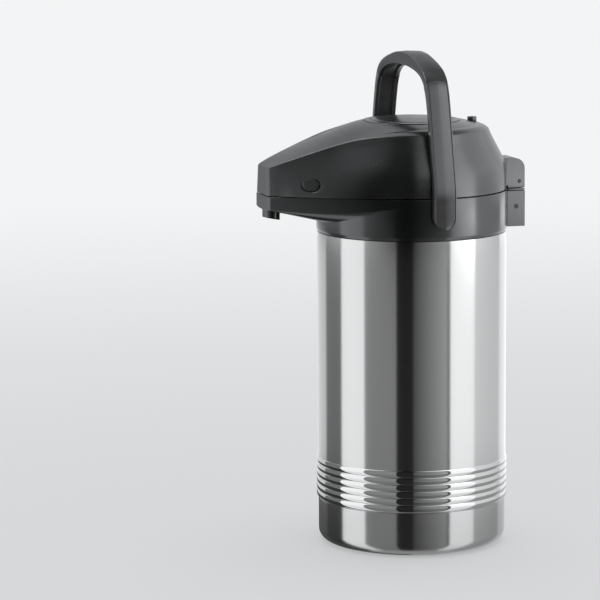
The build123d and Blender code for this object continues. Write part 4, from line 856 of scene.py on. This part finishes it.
# ABS is moulded in steel tools whose grain is about 0.1 mm. It is drawn at 0.35 mm to show at all.
# The lid's, nearly black: a satin sheen on the dome and the beak's ramp, and a soft gleam on every edge
lid_plastic = moulded("abs_dark_grey", "#0f1010", 0.25)
# The collar's, from a better polished tool: darker, with a clearer mirror image of the studio round it
collar_plastic = moulded("abs_collar", "#0c0d0d", 0.18)
# The handle legs', a lighter charcoal: it reads grey beside the lid, with a smooth sheen along the leg
handle_plastic = moulded("abs_handle", "#262627", 0.2)
# The grip's, with a duller grain for the hand: the sheen is broad and weak
grip_plastic = moulded("abs_grip", "#1e1e1f", 0.33, shine=0.35)
# The base ring's, rough from its tool and from standing on tables: almost no sheen
base_plastic = moulded("abs_base", "#1d1d1e", 0.6)
# Natural polypropylene of the pump's inner parts: milky white with a waxy, blurred shine
inner_plastic = moulded("pp_inner", "#d9d9d4", 0.45)
# Silicone rubber of the seals, gaskets, bellows and cushion: grey, soft-looking, matt and slightly dusty
rubber = moulded("moulded_silicone_rubber", "#8c8d8b", 0.72, 0.6, 0.04)

# Silvered glass of the vacuum flask: a mirror under clear glass, a little wavy from blowing
glass = new_material("silvered_blown_glass")
glass_place = add(glass, "TexCoord")
waves = add(glass, "TexNoise", {"Vector": glass_place.outputs["Object"]}, Scale=WAVES_PER_METRE, Detail=1.0)
wavy = add(glass, "Bump", {"Height": waves}, Strength=0.15, Distance=1.0 * mm)
silver = add(glass, "BsdfPrincipled", {"Normal": wavy}, Base_Color=linear("#d6dadb"), Metallic=1.0,
             Roughness=0.08, Coat_Weight=1.0, Coat_Roughness=0.02)
add(glass, "OutputMaterial", {"Surface": silver})

# The pieces made here: what each replaces, the body it rides on, its material and its slot
own_pieces = (
    (sleeve, "body_sleeve", "pot", steel, "steel"),
    (cup, "base_cup", "pot", steel, "steel"),
    (cover, "lid_shell", "lid", lid_plastic, "dark_plastic"),
    (guide, "lid_shell", "lid", lid_plastic, "dark_plastic"),
    (ear, "lid_shell", "lid", lid_plastic, "dark_plastic"),
    (pocket_cup, "lid_shell", "lid", lid_plastic, "dark_plastic"),
    (pad_right, "hinge_bracket", "pot", collar_plastic, "dark_plastic"),
    (pad_left, "hinge_bracket", "pot", collar_plastic, "dark_plastic"),
    (stub_right, "handle_leg_right", "handle", handle_plastic, "handle_plastic"),
    (stub_left, "handle_leg_left", "handle", handle_plastic, "handle_plastic"),
    (bellows, "bellows", "lid", rubber, "soft_rubber"),
    (spring, "pump_spring", "lid", bright_steel, "fixings"),
    (leg_right, "handle_leg_right", "handle", handle_plastic, "handle_plastic"),
    (leg_left, "handle_leg_left", "handle", handle_plastic, "handle_plastic"),
    (grip, "handle_grip", "handle", grip_plastic, "handle_plastic"),
)


def dress(piece, node, body, material, slot):
    """Gives the piece its material, lets it stand for the CAD node and ride on the body."""
    piece.data.materials.clear()
    piece.data.materials.append(material)
    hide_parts(node)
    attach(piece, body)


for row in own_pieces:
    dress(*row)

# The sleeve's faces below the top bead are burnished
sleeve.data.materials.append(bead_steel)
on_beads = mesh_values(sleeve.data.polygons, "center", 3)[:, 2] < BEADS_TOP * mm
sleeve.data.polygons.foreach_set("material_index", on_beads.astype(int))

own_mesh(bellows)
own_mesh(spring)

# Copies of CAD nodes, shaded as the exact surfaces that these sizes give
COLLAR_R, COLLAR_LOW_R, COLLAR_LOW_Z, COLLAR_CONE_Z = 83.0, 82.2, 274.9, 277.5
KEEL_R, KEEL_Z, KEEL_SLOPE = 114.0, 286.1, 0.24
SIDE_LEAN, TIP_HALF, TIP_REACH, TIP_CORNER = 25.5, 18.9, 135.5, 5.0
NOZZLE_R, NOZZLE_Y = 7.6, -127.3
BRACKET_LOW, BRACKET_HIGH, BRACKET_ROUND = 276.1, 307.2, 1.2
# A corner within this distance of a surface, on a face within about 14 degrees of it, belongs to it
ON_SURFACE = 0.03
SAME_WAY = 0.97


def joined_copy(node):
    """A copy of a CAD node with its loose triangles joined, so that its curved faces shade smoothly."""
    mesh = frame["nodes"][node].data.copy()
    mended(mesh, COPY_JOIN, outwards=False)
    creased(mesh, CREASE)
    piece = shown(node + "_skin", mesh)
    even = piece.modifiers.new("even_normals", "WEIGHTED_NORMAL")
    even.keep_sharp = True
    return piece


def true_normals(piece, surfaces):
    """Gives the copy of a CAD node the normals of its exact surfaces.

    Each surface is a function from points to their distance from it and its normal there. A face corner that
    lies on one, on a face that points nearly the same way, takes that surface's own normal.
    """
    mesh = piece.data
    piece.modifiers.clear()
    corner = mesh_values(mesh.loops, "vertex_index", 1, int)
    place = mesh_values(mesh.vertices, "co", 3)[corner]
    counts = mesh_values(mesh.polygons, "loop_total", 1, int)
    facing = np.repeat(mesh_values(mesh.polygons, "normal", 3), counts, axis=0)
    normals = mesh_values(mesh.corner_normals, "vector", 3)
    for surface in surfaces:
        distance, normal = surface(place / mm)
        agrees = np.einsum("ij,ij->i", normal, facing)
        normal = np.where(agrees[:, None] < 0, -normal, normal)
        on_it = (np.abs(distance) < ON_SURFACE) & (np.abs(agrees) > SAME_WAY)
        normals[on_it] = normal[on_it]
    mesh.normals_split_custom_set(normals.tolist())


def unit_rows(away):
    """The length of every row, and the rows made one long."""
    reach = np.linalg.norm(away, axis=1)
    return reach, away / np.maximum(reach, 1e-9)[:, None]


def round_wall(radius, centre=(0.0, 0.0)):
    """The upright cylinder of this radius: its normal points straight away from its axis."""
    def surface(points):
        reach, outwards = unit_rows(points[:, :2] - centre)
        return reach - radius, np.column_stack([outwards, np.zeros(len(points))])
    return surface


def flat_wall(axis, place):
    """The flat face square to an axis at this place."""
    def surface(points):
        return points[:, axis] - place, np.tile(np.eye(3)[axis], (len(points), 1))
    return surface


def cone_wall(low, high):
    """The cone through two rings (r, z) about the pot's axis."""
    along = np.subtract(high, low) / math.dist(low, high)

    def surface(points):
        reach, outwards = unit_rows(points[:, :2])
        normal = np.column_stack([outwards * along[1], np.full(len(points), -along[0])])
        return (reach - low[0]) * along[1] - (points[:, 2] - low[1]) * along[0], normal
    return surface


def keel_wall(points):
    """The beak's underside: a cylinder of the keel's radius, whose line rises by the slope to the tip."""
    length = math.hypot(1.0, KEEL_SLOPE)
    along = np.array([0.0, -1.0, KEEL_SLOPE]) / length
    centre = np.array([0.0, -COLLAR_R, KEEL_Z]) + KEEL_R * np.array([0.0, KEEL_SLOPE, 1.0]) / length
    away = points - centre
    reach, outwards = unit_rows(away - np.outer(away @ along, along))
    return reach - KEEL_R, outwards


def beak_walls(side):
    """The beak's long upright side, which leaves the collar's circle tangentially, and the round corner at
    its tip. The corner touches both, so its centre lies its own radius behind the tip, and the side's radius
    less its own from the side's centre."""
    lean = math.radians(SIDE_LEAN)
    outwards = np.array([math.cos(lean), -math.sin(lean)])
    start, end = COLLAR_R * outwards, np.array([TIP_HALF, -TIP_REACH])
    radius = (start - end) @ (start - end) / (2 * outwards @ (start - end))
    centre = start - radius * outwards
    y = TIP_CORNER - TIP_REACH
    x = centre[0] + math.sqrt((radius - TIP_CORNER) ** 2 - (y - centre[1]) ** 2)
    return round_wall(radius, centre * (side, 1.0)), round_wall(TIP_CORNER, (x * side, y))


bracket_corner = (EAR_HALF - BRACKET_ROUND, EAR_BACK - BRACKET_ROUND)
exact_walls = {
    "collar": (
        round_wall(COLLAR_R), cone_wall((COLLAR_LOW_R, COLLAR_LOW_Z), (COLLAR_R, COLLAR_CONE_Z)), keel_wall,
        flat_wall(1, -TIP_REACH), *beak_walls(1), *beak_walls(-1),
    ),
    "nozzle": (round_wall(NOZZLE_R, (0.0, NOZZLE_Y)),),
    "hinge_bracket": (
        flat_wall(0, EAR_HALF), flat_wall(0, -EAR_HALF), flat_wall(1, EAR_BACK),
        flat_wall(2, BRACKET_HIGH), flat_wall(2, BRACKET_LOW),
        round_wall(BRACKET_ROUND, bracket_corner),
        round_wall(BRACKET_ROUND, np.multiply(bracket_corner, (-1, 1))),
    ),
}
copied_nodes = (
    ("base_ring", "pot", base_plastic, "base_plastic"),
    ("base_screw_cap", "pot", base_plastic, "base_plastic"),
    ("collar", "pot", collar_plastic, "dark_plastic"),
    ("nozzle", "pot", collar_plastic, "dark_plastic"),
    ("hinge_bracket", "pot", collar_plastic, "dark_plastic"),
    ("pump_button", "button", lid_plastic, "dark_plastic"),
    ("lock_knob", "lock", handle_plastic, "dark_plastic"),
    ("release_button_left", "release_left", lid_plastic, "dark_plastic"),
    ("release_button_right", "release_right", lid_plastic, "dark_plastic"),
)
for node, body, material, slot in copied_nodes:
    piece = joined_copy(node)
    if node in exact_walls:
        true_normals(piece, exact_walls[node])
    dress(piece, node, body, material, slot)

# The other CAD nodes stay as they are and only get a better material
kept_finishes = {
    "vacuum_flask": glass, "flask_seal_tip": glass, "hinge_pin": dark_steel, "bracket_screws": dark_steel,
    "lid_screws": bright_steel, "riser_tube": bright_steel, "liner_cushion": rubber, "mouth_gasket": rubber,
    "riser_seal": rubber, "lid_seal": rubber, "air_valve": rubber,
}
covered = {row[0] for row in copied_nodes} | {row[1] for row in own_pieces}
for node, piece in frame["nodes"].items():
    if node not in covered:
        piece.data.materials.clear()
        piece.data.materials.append(kept_finishes.get(node, inner_plastic))

# The softboxes at both sides are flagged off the steel and the table, and only light the plastic
plastics = bpy.data.collections.new("plastics")
for piece in bpy.data.objects:
    names = [slot.material.name for slot in piece.material_slots if slot.material]
    if piece.type == "MESH" and any(name.startswith("abs") for name in names):
        plastics.objects.link(piece)
for lamp in plastic_lamps:
    lamp.light_linking.receiver_collection = plastics

bpy.context.view_layer.update()
